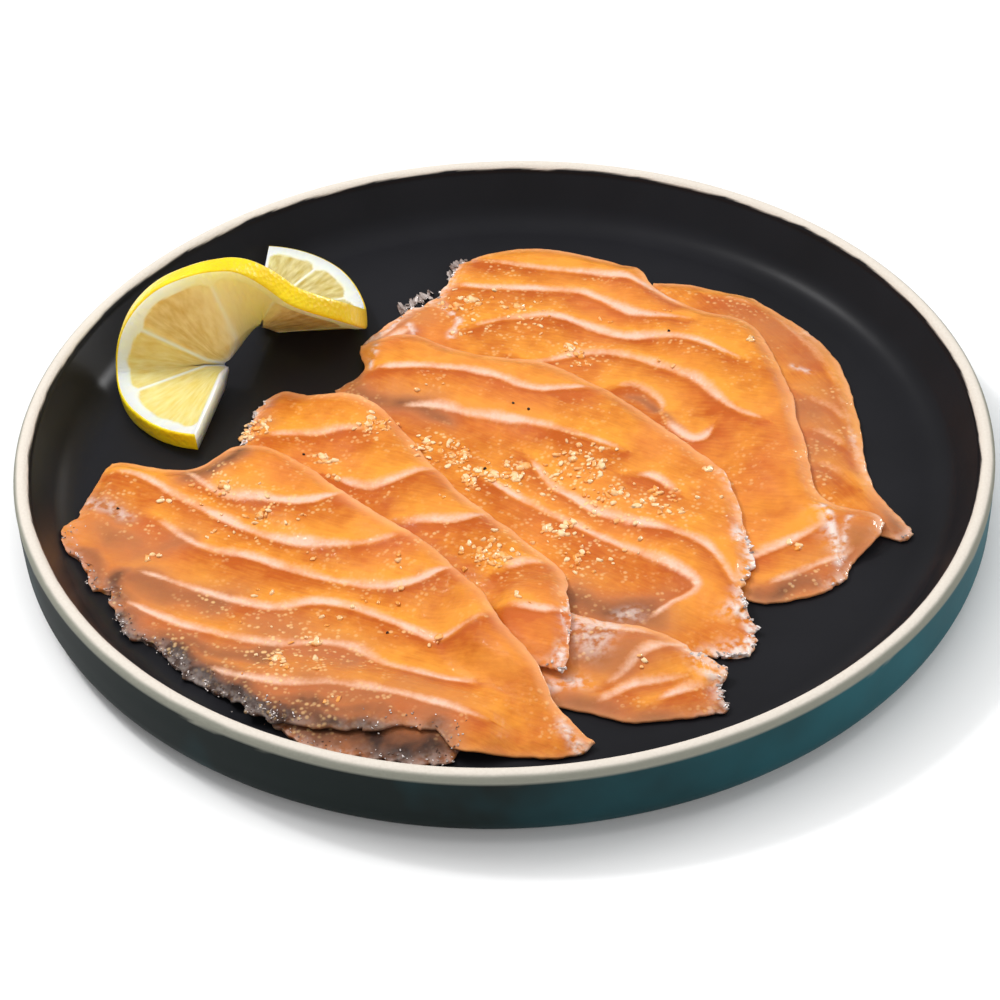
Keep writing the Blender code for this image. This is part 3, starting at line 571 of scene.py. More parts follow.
def raw_salmon():
    """Raw salmon, knife cut and wet: translucent orange muscle with a soft glow, white fat lines and a wet
    film that gives small sharp highlights. The muscle strands are drawn four times as coarse as real ones, so
    that they show.
    """
    material, tree, shader = new_material("raw_salmon_wet_cut")
    layers = salmon_layers(tree)
    bump, film = salmon_relief(tree, layers)
    connect(tree, shader, Base_Color=salmon_colour(tree, layers), Roughness=0.42, IOR=1.36,
            Specular_IOR_Level=0.3, Normal=bump, Subsurface_Weight=0.12, Subsurface_Radius=(1.0, 0.38, 0.14),
            Subsurface_Scale=0.003, Coat_Weight=0.7, Coat_Roughness=0.04, Coat_IOR=1.36, Coat_Normal=film)
    return material


def tinted_bits(name, clouding, dark, light):
    """A material for bits that each have a tint of their own between two colours, clouded inside."""
    material, tree, shader = new_material(name)
    place = add(tree, "TexCoord", {}).outputs["Object"]
    tint = add(tree, "Attribute", {}, attribute_name="tint").outputs["Fac"]
    cloud = add(tree, "TexNoise", {"Vector": place, "Scale": 1 / BIT_CLOUD, "Detail": 2.0}).outputs["Fac"]
    share = add(tree, "Math", {0: cloud, 1: clouding, 2: -clouding / 2}, operation="MULTIPLY_ADD").outputs[0]
    share = add(tree, "Math", {0: share, 1: tint}, operation="ADD", use_clamp=True).outputs[0]
    body = add(tree, "Mix", {0: share, 6: colour(dark), 7: colour(light)}, data_type="RGBA").outputs[2]
    connect(tree, shader, Base_Color=body)
    return material, tree, shader


def torn_membrane():
    """Torn connective tissue: wet threads that flash white, milky where they are thick and dark where they
    are so thin that the glaze shows through. The palest small specks are painted highlights.
    """
    material, tree, shader = tinted_bits("torn_membrane", 0.8, "#62483C", "#FAEEE9")
    connect(tree, shader, Roughness=0.25, IOR=1.37, Coat_Weight=0.8, Coat_Roughness=0.06)
    return material


def cracked_pepper():
    """Cracked black pepper: dry and dark, so that it reads as small matt specks on the wet fish."""
    material, tree, shader = new_material("cracked_pepper")
    place = add(tree, "TexCoord", {}).outputs["Object"]
    grain = add(tree, "TexNoise", {"Vector": place, "Scale": 1 / 0.0004}).outputs["Fac"]
    body = add(tree, "Mix", {0: grain, 6: colour("#1A1210"), 7: colour("#3B2A20")},
               data_type="RGBA").outputs[2]
    connect(tree, shader, Base_Color=body, Roughness=0.8)
    return material


def stoneware():
    """Glazed stoneware, thrown and dipped: satin black glaze inside, green glaze outside that turns teal
    towards the plate's right side, clouded where it pooled, and a lip wiped back to bare clay.
    """
    material, tree, shader = new_material("glazed_stoneware")
    place = add(tree, "TexCoord", {}).outputs["Object"]
    spots = {name: add(tree, "Attribute", {}, attribute_name=name).outputs["Fac"]
             for name in ("inner", "lip", "foot", "brink")}
    grit = add(tree, "TexNoise", {"Vector": place, "Scale": 1 / 0.0008, "Detail": 3.0}).outputs["Fac"]
    pool = add(tree, "TexNoise", {"Vector": place, "Scale": 1 / 0.03, "Detail": 3.0}).outputs["Fac"]
    # The outer glaze runs from dark green to teal towards the plate's right side, clouded by the pool noise.
    side = add(tree, "SeparateXYZ", {0: place}).outputs[0]
    side = add(tree, "MapRange", {"Value": side, "From Min": -0.02, "From Max": 0.12}).outputs[0]
    side = add(tree, "Math", {0: pool, 1: 0.9, 2: side}, operation="MULTIPLY_ADD").outputs[0]
    side = add(tree, "MapRange", {"Value": side, "From Min": 0.5, "From Max": 1.5}).outputs[0]
    outer = add(tree, "Mix", {0: side, 6: colour("#0B1716"), 7: colour("#1A5A64")},
                data_type="RGBA").outputs[2]
    black = add(tree, "Mix", {0: pool, 6: colour("#18181A"), 7: colour("#232327")},
                data_type="RGBA").outputs[2]
    glaze = add(tree, "Mix", {0: spots["inner"], 6: outer, 7: black}, data_type="RGBA").outputs[2]
    clay = add(tree, "Mix", {0: grit, 6: colour("#D6CCBF"), 7: colour("#E6DED3")},
               data_type="RGBA").outputs[2]
    clay = add(tree, "Mix", {0: spots["brink"], 6: clay, 7: colour("#8E8E82")}, data_type="RGBA").outputs[2]
    body = add(tree, "Mix", {0: spots["lip"], 6: glaze, 7: clay}, data_type="RGBA").outputs[2]
    body = add(tree, "Mix", {0: spots["foot"], 6: body, 7: colour("#B9A996")}, data_type="RGBA").outputs[2]
    bare = add(tree, "Math", {0: spots["lip"], 1: spots["foot"]}, operation="MAXIMUM").outputs[0]
    glossy = add(tree, "Math", {0: spots["inner"], 1: -0.25, 2: 0.6}, operation="MULTIPLY_ADD").outputs[0]
    rough = add(tree, "Math", {0: glossy, 1: bare}, operation="MAXIMUM").outputs[0]
    height = add(tree, "Math", {0: grit, 1: bare}, operation="MULTIPLY").outputs[0]
    wavy = add(tree, "Math", {0: pool, 1: 1.5, 2: height}, operation="MULTIPLY_ADD").outputs[0]
    bump = add(tree, "Bump", {"Height": wavy, "Strength": 0.3, "Distance": 0.0006}).outputs[0]
    connect(tree, shader, Base_Color=body, Roughness=rough, IOR=1.5, Specular_IOR_Level=0.14, Normal=bump)
    return material


def lemon_peel():
    """Lemon peel, waxy and finely pored: deep yellow with a soft gloss broken by the pores."""
    material, tree, shader = new_material("lemon_peel")
    place = add(tree, "TexCoord", {}).outputs["Object"]
    pores = add(tree, "TexVoronoi", {"Vector": place, "Scale": 1 / 0.0012}).outputs["Distance"]
    cloud = add(tree, "TexNoise", {"Vector": place, "Scale": 1 / 0.008, "Detail": 2.0}).outputs["Fac"]
    body = add(tree, "Mix", {0: cloud, 6: colour("#FFC800"), 7: colour("#FFEC1E")},
               data_type="RGBA").outputs[2]
    bump = add(tree, "Bump", {"Height": pores, "Strength": 0.5, "Distance": 0.0004}).outputs[0]
    connect(tree, shader, Base_Color=body, Roughness=0.35, IOR=1.45, Normal=bump, Subsurface_Weight=0.2,
            Subsurface_Radius=(1.0, 0.7, 0.15), Subsurface_Scale=0.002, Coat_Weight=0.3, Coat_Roughness=0.2)
    return material


def lemon_flesh():
    """Cut lemon: white spongy pith round juicy straw-coloured pulp, with pale skins between the segments."""
    material, tree, shader = new_material("lemon_pulp_and_pith")
    polar = add(tree, "UVMap", {}, uv_map="flow").outputs["UV"]
    pith, skin, clear, shade = [add(tree, "Attribute", {}, attribute_name=name).outputs["Fac"]
                                for name in ("pith", "skin", "clear", "arch")]
    cells = add(tree, "Mapping", {0: polar, "Scale": (1 / 0.0011, 1 / 0.004, 1.0)}).outputs[0]
    vesicle = add(tree, "TexVoronoi", {"Vector": cells, "Scale": 1.0}).outputs["Distance"]
    cloud = add(tree, "TexNoise", {"Vector": cells, "Scale": 0.8, "Detail": 3.0}).outputs["Fac"]
    cloud = add(tree, "MapRange", {"Value": cloud, "From Min": 0.3, "From Max": 0.7}).outputs[0]
    dark = add(tree, "Mix", {0: clear, 6: colour("#F0CB6E"), 7: colour("#BCA452")},
               data_type="RGBA").outputs[2]
    light = add(tree, "Mix", {0: clear, 6: colour("#FFE29C"), 7: colour("#E4D69E")},
                data_type="RGBA").outputs[2]
    pulp = add(tree, "Mix", {0: cloud, 6: dark, 7: light}, data_type="RGBA").outputs[2]
    pulp = add(tree, "Mix", {0: skin, 6: pulp, 7: colour("#FFF8E2")}, data_type="RGBA").outputs[2]
    # Where the slice stands up its colour is painted lighter as glow, and the pith warmer as painted shade.
    painted_glow = add(tree, "Math", {0: shade, 1: 0.72}, operation="MULTIPLY").outputs[0]
    rind = add(tree, "Mix", {0: shade, 6: colour("#FFF5DC"), 7: colour("#FFE8B0")},
               data_type="RGBA").outputs[2]
    body = add(tree, "Mix", {0: pith, 6: pulp, 7: rind}, data_type="RGBA").outputs[2]
    body = add(tree, "Mix", {0: painted_glow, 6: body, 7: colour("#FFECB2")}, data_type="RGBA").outputs[2]
    bump = add(tree, "Bump", {"Height": vesicle, "Strength": 0.4, "Distance": 0.0005}).outputs[0]
    connect(tree, shader, Base_Color=body, Roughness=0.3, IOR=1.36, Normal=bump, Subsurface_Weight=1.0,
            Subsurface_Radius=(1.0, 0.85, 0.4), Subsurface_Scale=0.012, Coat_Weight=0.3, Coat_Roughness=0.15)
    return material


def minced_garlic():
    """Minced garlic steeped in oil: glassy cream to amber bits, wet, so that each has its own highlight."""
    material, tree, shader = tinted_bits("minced_garlic", 1.4, "#F5A044", "#FFE0AE")
    connect(tree, shader, Roughness=0.3, IOR=1.4, Coat_Weight=0.7, Coat_Roughness=0.06)
    return material


def plain_floor():
    """Matt white board."""
    material, tree, shader = new_material("floor_board")
    connect(tree, shader, Base_Color=colour("#FBFBFB"), Roughness=0.9)
    return material


# Plate

def arc(centre, radius, start, stop, steps):
    """Points on an arc of a profile, angles in degrees."""
    angles = np.radians(np.linspace(start, stop, steps + 1))
    return [(centre[0] + radius * math.cos(a), centre[1] + radius * math.sin(a)) for a in angles]


def between(start, stop, steps):
    """Points inside a straight run of a profile."""
    return [tuple(np.array(start) + (np.array(stop) - start) * k / steps) for k in range(1, steps)]


def plate_profile():
    """Half section of the plate from the middle of its underside round to the middle of its floor."""
    half_lip = LIP_WIDTH / 2
    ring_in, ring_out = FOOT_RING
    foot, corner = ARC_STEPS["foot"], PLATE_RADIUS - WALL_LEAN - OUTER_ROUNDING
    profile = [(radius, RECESS) for radius in (*UNDERSIDE_RINGS, ring_in - FOOT_SLOPE)]
    profile += arc((ring_in + FOOT_ROUNDING, FOOT_ROUNDING), FOOT_ROUNDING, 180, 270, foot)
    profile += arc((ring_out - FOOT_ROUNDING, FOOT_ROUNDING), FOOT_ROUNDING, -90, 0, foot)
    profile += [(ring_out + FOOT_SLOPE, UNDERSIDE), (HEEL_RING, UNDERSIDE)]
    profile += arc((corner, UNDERSIDE + OUTER_ROUNDING), OUTER_ROUNDING, -90, 0, ARC_STEPS["rounding"])
    lip = arc((PLATE_RADIUS - half_lip, PLATE_HEIGHT - half_lip), half_lip, 0, 180, ARC_STEPS["lip"])
    fillet = arc((FLOOR_RADIUS, FLOOR_TOP + FILLET_RADIUS), FILLET_RADIUS, WALL_SLOPE - 90, -90,
                 ARC_STEPS["fillet"])
    profile += between(profile[-1], lip[0], WALL_STEPS[0]) + lip
    profile += between(lip[-1], fillet[0], WALL_STEPS[1]) + fillet
    return np.array(profile + [(radius, FLOOR_TOP) for radius in FLOOR_RINGS])


def make_plate():
    """A disc extruded ring by ring along the profile, then worked a little out of true as if by hand."""
    profile = plate_profile()
    bpy.ops.object.select_all(action="DESELECT")
    bpy.ops.mesh.primitive_circle_add(vertices=PLATE_SEGMENTS, radius=profile[0, 0] * MM, fill_type="NGON",
                                      location=(0, 0, profile[0, 1] * MM))
    piece = bpy.context.object
    piece.name = "stoneware_plate"
    bpy.ops.object.transform_apply(location=True)
    bpy.ops.object.mode_set(mode="EDIT")
    bpy.ops.mesh.select_all(action="SELECT")
    for (radius, height), (next_radius, next_height) in zip(profile, profile[1:]):
        rise = (0, 0, (next_height - height) * MM)
        bpy.ops.mesh.extrude_region_move(TRANSFORM_OT_translate={"value": rise})
        scale = next_radius / radius
        bpy.ops.transform.resize(value=(scale, scale, 1.0), center_override=(0, 0, next_height * MM))
    bpy.ops.mesh.select_all(action="SELECT")
    bpy.ops.mesh.normals_make_consistent(inside=False)
    bpy.ops.object.mode_set(mode="OBJECT")
    bpy.ops.object.shade_smooth()
    mark_plate(piece.data)
    piece.data.materials.append(stoneware())
    place_piece(piece, "glazed_stoneware", "plate")


def mark_plate(mesh):
    """Hand-made unevenness, and the values that say where each glaze lies."""
    places = numbers(mesh.vertices, "co", 3) / MM
    height = places[:, 2]
    radius = np.linalg.norm(places[:, :2], axis=1)
    around = places[:, :2] / radius[:, None]
    wobble = 1 + noise(around * 40 + 100, 16, 5)
    low, blend = OUT_OF_TRUE_FROM
    places[:, :2] *= (1 - OUT_OF_TRUE * smooth_step((height - low) / blend) * wobble)[:, None]
    edge = sum(rise * noise(around * PLATE_RADIUS + 200, *field) for rise, *field in WIPED_WANDER)
    outer = smooth_step(radius - PLATE_RADIUS + 2)
    inner = smooth_step((PLATE_RADIUS - LIP_WIDTH / 2 - radius) / GLAZE_BLEND) * (height > UNDERSIDE + 3)
    lip = smooth_step((height - (PLATE_HEIGHT - WIPED[0] - WIPED[1] * outer) + edge) / 0.35)
    brink = smooth_step((radius - PLATE_RADIUS + BRINK[0] + 0.3 * edge) / BRINK[1])
    foot = smooth_step((0.5 - height) / GLAZE_BLEND) * (radius > FOOT_RING[0] - 1)
    for name, values in dict(inner=inner, lip=lip, foot=foot, brink=brink).items():
        add_mark(mesh, name, values)
    mesh.vertices.foreach_set("co", (places * MM).ravel())


# Slices

def line_run(points):
    """A rounded line through a few given points, finely divided, and the distance run at each place."""
    given = np.array(points, float)
    ends = np.vstack([2 * given[0] - given[1], given, 2 * given[-1] - given[-2]])
    fine = []
    for before, start, stop, after in zip(ends, ends[1:], ends[2:], ends[3:]):
        for t in np.linspace(0, 1, LINE_STEPS, endpoint=False):
            fine.append(0.5 * (2 * start + (stop - before) * t
                               + (2 * before - 5 * start + 4 * stop - after) * t ** 2
                               + (3 * start - before - 3 * stop + after) * t ** 3))
    fine = np.array(fine + [given[-1]]) if len(given) > 2 else given
    return fine, np.concatenate([[0], np.cumsum(np.linalg.norm(np.diff(fine, axis=0), axis=1))])


def smooth_line(points, shares):
    """Places at given shares of a rounded line's length."""
    fine, run = line_run(points)
    return np.stack([np.interp(shares * run[-1], run, fine[:, axis]) for axis in range(2)], 1)


def stations(length):
    """Shares of a length at which a slice has its points, closer together at both rims."""
    rim = np.array(RIM_STATIONS)
    middle = np.linspace(rim[-1], length - rim[-1], max(int(length / STEP), 4))
    return np.concatenate([rim[:-1], middle, (length - rim[:-1])[::-1]]) / length


def slice_plan(shape):
    """Plan positions of a slice's grid, blended between its four edges."""
    length = max(line_run(shape[side])[1][-1] for side in ("front", "back"))
    shares = np.linspace(0, 1, 30)
    across = smooth_line(shape["front"], shares) - smooth_line(shape["back"], shares)
    width = np.linalg.norm(across, axis=1).max()
    u, v = stations(length), stations(width)
    front = smooth_line(shape["front"], u)[:, None]
    back = smooth_line(shape["back"], u)[:, None]
    left = smooth_line(shape.get("left", [front[0, 0], back[0, 0]]), v)[None]
    right = smooth_line(shape.get("right", [front[-1, 0], back[-1, 0]]), v)[None]
    u, v = u[:, None, None], v[None, :, None]
    corners = ((1 - u) * ((1 - v) * front[0] + v * back[0]) + u * ((1 - v) * front[-1] + v * back[-1]))
    return (1 - v) * front + v * back + (1 - u) * left + u * right - corners


def patches(places, strokes):
    """The strongest of a set of soft strokes (strength, radius, points) at plan places."""
    value = np.zeros(places.shape[:-1])
    for strength, radius, points in strokes:
        line = smooth_line(points, np.linspace(0, 1, 30)) if len(points) > 1 else np.array(points, float)
        away = np.linalg.norm(nearest_of(places, line)[1], axis=-1)
        value = np.maximum(value, strength * np.exp(-(away / radius) ** 2))
    return value


def nearest_of(places, points):
    """Index of the nearest of some points, and the offset from it, for each place."""
    flat = places.reshape(-1, 2)
    parts = np.array_split(flat, max(len(flat) // 2000, 1))
    index = np.concatenate([((part[:, None] - points) ** 2).sum(-1).argmin(1) for part in parts])
    return index.reshape(places.shape[:-1]), (flat - points[index]).reshape(places.shape)


def fat_marks(places, lines):
    """Strength of the fat lines and of the creases on their near side, and how far each place lies from the
    far line of its band to the near one, softened across the lines themselves.
    """
    fat, crease = np.zeros((2, *places.shape[:-1]))
    nearest, above, below = np.full((3, *fat.shape), TERRACE_REACH)
    for number, line in enumerate(lines):
        run = line_run(line)[1][-1]
        points = smooth_line(line, np.linspace(0, 1, int(run / FAT_SPACING)))
        points += FAT_SWAY * noises(points, (8, 40 + number), (8, 60 + number))
        index, away = nearest_of(places, points)
        tangent = np.gradient(points, axis=0)[index]
        side = tangent[..., 0] * away[..., 1] - tangent[..., 1] * away[..., 0]
        distance = np.linalg.norm(away, axis=-1)
        at_end = (index == 0) | (index == len(points) - 1)
        reach = distance + PAST_END * np.where(at_end, np.abs((tangent * away).sum(-1)), 0)
        width, strength = fat_breadth(places, index / (len(points) - 1), run, number)
        width = width * np.where(side > 0, FAT_FAR_SIDE, FAT_NEAR_SIDE)
        fat = np.maximum(fat, strength * np.exp(-(distance / width) ** 2))
        near_side = distance * np.sign(side) + CREASE_OFFSET
        crease = np.maximum(crease, strength * np.exp(-(near_side / CREASE_WIDTH) ** 2))
        nearest = np.minimum(nearest, distance)
        below = np.where((side > 0) & (reach < below), reach, below)
        above = np.where((side <= 0) & (reach < above), reach, above)
    band = 0.5 + (above / (above + below) - 0.5) * smooth_step(nearest / STEP_SOFTNESS)
    return fat, crease, band


def fat_breadth(places, share, run, number):
    """Half width and strength of a fat line at shares of its length, thinning out towards its ends."""
    ends, middle = FAT_TAPER
    width = FAT_WIDTH * (ends + middle * np.sin(math.pi * np.clip(share, 0.04, 0.96)) ** 0.5)
    width = width * (1 + FAT_UNEVEN * noise(places, 7, 80 + number))
    strength = 1 + FAT_UNEVEN * (noise(places, 9, 90 + number) - 0.5)
    strength *= smooth_step((share * run + 1) / FAT_ENDS[0])
    strength *= FAT_LEFT + (1 - FAT_LEFT) * smooth_step(((1 - share) * run + 1) / FAT_ENDS[1])
    return width, strength


def soften(heights, reach):
    """The mean height within a distance of each place."""
    offsets = disk_offsets(reach)
    return sum(np.roll(heights, shift, (0, 1)) for shift in offsets) / len(offsets)


def disk_offsets(reach):
    cells = int(reach / CELL)
    span = range(-cells, cells + 1)
    return [(i, j) for i in span for j in span if i * i + j * j <= cells * cells]


def spread(heights, reach):
    """The highest ground within a distance of each place."""
    highest = heights.copy()
    for shift in disk_offsets(reach):
        highest = np.maximum(highest, np.roll(heights, shift, (0, 1)))
    return highest


def fillet_height(places):
    """Height of the plate's floor where it curves up into its wall."""
    past = np.clip(np.linalg.norm(places, axis=-1) - FLOOR_RADIUS, 0, FILLET_REACH)
    return FLOOR_TOP + FILLET_RADIUS - np.sqrt(FILLET_RADIUS ** 2 - past ** 2)


def lay_on_map(heights, plan, top):
    """Writes a laid slice's top face into the height map, at its points and half way between them."""
    halfway = (plan[:-1, :-1] + plan[1:, 1:]) / 2, (top[:-1, :-1] + top[1:, 1:]) / 2
    for grid, level in ((plan, top), halfway):
        cells = np.round((grid + MAP_HALF) / CELL).astype(int)
        np.maximum.at(heights, (cells[..., 0], cells[..., 1]), level)


def turned(places, degrees):
    """Plan places in metres, measured along and across a direction."""
    angle = math.radians(degrees)
    along = places[..., 0] * math.cos(angle) + places[..., 1] * math.sin(angle)
    across = places[..., 1] * math.cos(angle) - places[..., 0] * math.sin(angle)
    return np.stack([along, across], -1) * MM


def add_flow(mesh, values):
    """Writes a pair of values for each point into a UV map named flow."""
    layer = mesh.uv_layers.new(name="flow")
    corners = numbers(mesh.loops, "vertex_index", 1, np.int32)
    layer.data.foreach_set("uv", values[corners].astype(np.float32).ravel())


def blunted(plan):
    """Draws a slice's four corners in, so that none is a sharp point."""
    moved = plan.copy()
    for corner_u, inner_u in ((0, CORNER_CELLS), (-1, -1 - CORNER_CELLS)):
        for corner_v, inner_v in ((0, CORNER_CELLS), (-1, -1 - CORNER_CELLS)):
            corner = plan[corner_u, corner_v]
            way_in = plan[inner_u, inner_v] - corner
            way_in = way_in / max(np.linalg.norm(way_in), 0.1)
            away = np.linalg.norm(plan - corner, axis=-1)
            moved += BLUNT_DEPTH * way_in * (smooth_step(1 - away / BLUNT_REACH) ** 2)[..., None]
    return moved


def torn_edge(plan, torn, pale):
    """Places on a slice's torn edges, with the way outwards, the strength and the paleness there."""
    found = []
    for grid, values in ((plan, torn), (plan.swapaxes(0, 1), torn.T)):
        for edge, inner in ((0, TORN_CELLS), (-1, -1 - TORN_CELLS)):
            out = grid[edge] - grid[inner]
            out /= np.maximum(np.linalg.norm(out, axis=-1), 0.1)[:, None]
            found += [(*item, pale) for item in zip(grid[edge], out, values[edge])
                      if item[2] > FRINGE_START]
    return found


def ragged_outline(plan, torn):
    """A slice's plan with blunt corners and an uneven outline, and how far each place is from the outline
    and from the far edge.
    """
    plan = blunted(plan)
    outline = np.concatenate([plan[0], plan[-1], plan[:, 0], plan[:, -1]])
    inside = np.linalg.norm(nearest_of(plan, outline)[1], axis=-1)
    from_back = np.linalg.norm(nearest_of(plan, plan[:, -1])[1], axis=-1)
    shake = noises(plan, *SHAKE_FIELDS) + TREMOR * noises(plan, *TREMOR_FIELDS)
    clean, ragged = OUTLINE_SHAKE
    shake = shake * (clean + ragged * torn * np.exp(-inside / SHAKE_REACH))[..., None]
    return plan + OUTLINE_WANDER * noises(plan, *WANDER_FIELDS) + shake, inside, from_back


def slice_faces(plan, heights, inside, band, crease):
    """Heights of a slice's two faces, draped over what the height map holds."""
    support = soften(spread(heights, SAG_REACH), SAG_SOFTNESS)
    under = np.maximum(read_map(support, plan), fillet_height(plan)) + CONTACT
    grown = smooth_step(inside / EDGE_TAPER)
    body = EDGE_THICKNESS + (SLICE_THICKNESS - EDGE_THICKNESS) * grown
    rounded = np.sqrt(1 - (1 - np.clip(inside / RIM_ROUND, 0, 1)) ** 2)
    relief = TERRACE * (2 * smooth_step(band) - 1) - CREASE_DEPTH * crease
    relief += RIPPLE * noise(plan, *RIPPLE_FIELD) + DIMPLES * noise(plan, *DIMPLE_FIELD)
    upper = under + body * (RIM_SHARE + (1 - RIM_SHARE) * rounded) + relief * grown
    return under + body * RIM_SHARE * (1 - rounded), upper


def crumb_strokes(name):
    """The crumb clusters on a slice, as strokes for patches."""
    return [(1.0, 1.5 * radius + 2, [(x, y)]) for owner, x, y, radius, _ in CRUMB_CLUSTERS if owner == name]


def make_slice(name, shape, heights, flesh):
    """Lays one slice over what the height map holds, writes its own top into the map, and gives its torn
    edges.
    """
    plan = slice_plan(shape)
    drift = MARK_DRIFT * noises(plan, *DRIFT_FIELDS)
    torn, thin, grit = [patches(plan + drift, strokes)
                        for strokes in (shape["frayed"], shape["thin"], crumb_strokes(name))]
    plan, inside, from_back = ragged_outline(plan, torn)
    fat, crease, band = fat_marks(plan, shape["fat"])
    fat, crease = [value * shape.get("fat_strength", 1.0) for value in (fat, crease)]
    oil = OIL[0] * (1 - band) * smooth_step(noise(plan, *OIL_FIELD) + OIL[1])
    far_rim = RIM_PALE[0] * np.exp(-(from_back / RIM_PALE[1]) ** 2)
    far_rim = far_rim * (RIM_UNEVEN[0] + RIM_UNEVEN[1] * noise(plan, *RIM_FIELD))
    rim = np.maximum(far_rim, CUT_PALE[0] * (1 - torn) * np.exp(-inside / CUT_PALE[1]))
    pale = shape.get("pale", 1.0)
    tissue = patches(plan + drift, shape.get("tissue", []))
    frost = np.maximum(pale * torn * np.exp(-(inside / FROST_REACH) ** 2), tissue)
    marks = dict(fat=fat, crease=crease, tone_and_step_shade=band - shape.get("depth", 0.0), thin=thin, rim=rim,
                 frost=frost, grit=np.maximum(grit, oil))
    lower, upper = slice_faces(plan, heights, inside, band, crease)
    piece = closed_sheet(name + "_flesh", np.dstack([plan, lower]), np.dstack([plan, upper]), marks)
    places = numbers(piece.data.vertices, "co", 3)[:, :2] / MM
    add_flow(piece.data, turned(places, shape["grain"]))
    piece.data.materials.append(flesh)
    place_piece(piece, "raw_salmon", name)
    lay_on_map(heights, plan, upper)
    return torn_edge(plan, torn, pale)


def make_slices():
    size = int(2 * MAP_HALF / CELL) + 1
    heights = np.full((size, size), FLOOR_TOP)
    flesh = raw_salmon()
    torn = []
    for name, shape in SLICES.items():
        torn += make_slice(name, shape, heights, flesh)
    return heights, torn


# Lemon

def lemon_ray(angle):
    """Unit vector from the slice's centre to its rim."""
    marks = sorted(LEMON_RAYS)
    index = min(max(np.searchsorted(marks, angle, side="right") - 1, 0), len(marks) - 2)
    around = [marks[min(max(k, 0), len(marks) - 1)] for k in (index - 1, index, index + 1, index + 2)]
    before, start, stop, after = (np.array(LEMON_RAYS[mark]) for mark in around)
    span = around[2] - around[1]
    t = (angle - around[1]) / span
    slope_start = (stop - before) * span / max(around[2] - around[0], span)
    slope_stop = (after - start) * span / max(around[3] - around[1], span)
    ray = ((2 * t ** 3 - 3 * t ** 2 + 1) * start + (t ** 3 - 2 * t ** 2 + t) * slope_start
           + (3 * t ** 2 - 2 * t ** 3) * stop + (t ** 3 - t ** 2) * slope_stop)
    return ray / np.linalg.norm(ray)


def lemon_centre(angle):
    """Centre of the slice, which steps sideways where the two halves part."""
    first, last = LEMON_SHIFT
    t = smooth_step((angle - first) / (last - first))
    return (1 - t) * np.array(LEMON_FRONT_CENTRE) + t * np.array(LEMON_BACK_CENTRE)


def lemon_section():
    """Radius and share of the half thickness at each station from the core to the middle of the peel."""
    flat = np.linspace(LEMON_CORE, LEMON_RADIUS - LEMON_EDGE[0][0], LEMON_STEPS[1], endpoint=False)
    radii = np.concatenate([flat, [LEMON_RADIUS - back for back, _ in LEMON_EDGE]])
    return radii, np.concatenate([np.ones(len(flat)), [share for _, share in LEMON_EDGE]])


def lemon_marks(angles, radii):
    """Shares of peel, pith, skin and clear pulp at each angle and radius, and the distance from a skin."""
    gap = np.abs(angles[:, None] - np.array(SEGMENTS)).min(axis=1)
    from_skin = np.radians(gap)[:, None] * radii
    height, size, seed = PITH_WAVES
    wavy = height * noise(np.stack(np.meshgrid(angles / 4, radii, indexing="ij"), -1), size, seed)
    corner = PITH_CORNER[0] * np.exp(-(from_skin / PITH_CORNER[1]) ** 2)
    pith = smooth_step((radii + wavy + corner - (LEMON_RADIUS - PEEL_WIDTH - PITH_WIDTH)) / PITH_BLEND)
    cut = np.radians(np.minimum(angles, 360 - angles))[:, None] * radii
    pith = np.maximum(pith, smooth_step(PITH_AT_CUT - cut / PITH_BLEND))
    skin = np.clip(np.exp(-(from_skin / SKIN_WIDTH) ** 2) + np.exp(-(radii / CORE_SKIN) ** 2), 0, 1)
    clear = angle_band(angles, *CLEAR_FRONT) * CLEAR_STRENGTH
    clear += smooth_step((angles - CLEAR_BACK[0]) / CLEAR_BACK[1])
    marks = dict(pith=pith, skin=skin, peel=radii > LEMON_RADIUS - PEEL_WIDTH, clear=clear[:, None],
                 arch=angle_band(angles, *ARCH)[:, None],
                 polar_angle=np.radians(angles)[:, None] * POLAR_RADIUS, polar_radius=radii)
    return {name: np.broadcast_to(values, pith.shape) for name, values in marks.items()}, from_skin


def angle_band(angles, start, stop, blend_in, blend_out):
    """One between two angles and nothing outside them."""
    return smooth_step((angles - start) / blend_in) * smooth_step((stop - angles) / blend_out)


def lemon_faces(angles, radii, reach):
    """The twisted slice's two faces, each as far as reach says from its middle."""
    lower, upper = [], []
    for angle, depth in zip(angles, reach):
        ray = lemon_ray(angle)
        middle = lemon_centre(angle) + radii[:, None] * ray
        before, after = max(angle - 2, 0), min(angle + 2, 360)
        along = lemon_centre(after) - lemon_centre(before)
        along = along + radii[:, None] * (lemon_ray(after) - lemon_ray(before))
        normal = np.cross(ray, along)
        normal /= np.linalg.norm(normal, axis=1)[:, None]
        lower.append(middle - depth[:, None] * normal)
        upper.append(middle + depth[:, None] * normal)
    faces = np.array([lower, upper])
    faces[..., 2] += LEMON_REST - faces[..., 2].min()
    return faces


def paint_lemon(mesh):
    """Pulp all over, and peel on the faces whose corners all lie in it."""
    mesh.materials.append(lemon_flesh())
    mesh.materials.append(lemon_peel())
    starts = numbers(mesh.polygons, "loop_start", 1, np.int32)
    peeled = (read_mark(mesh, "peel") > 0.5)[numbers(mesh.loops, "vertex_index", 1, np.int32)]
    mesh.polygons.foreach_set("material_index", np.logical_and.reduceat(peeled, starts).astype(np.int32))


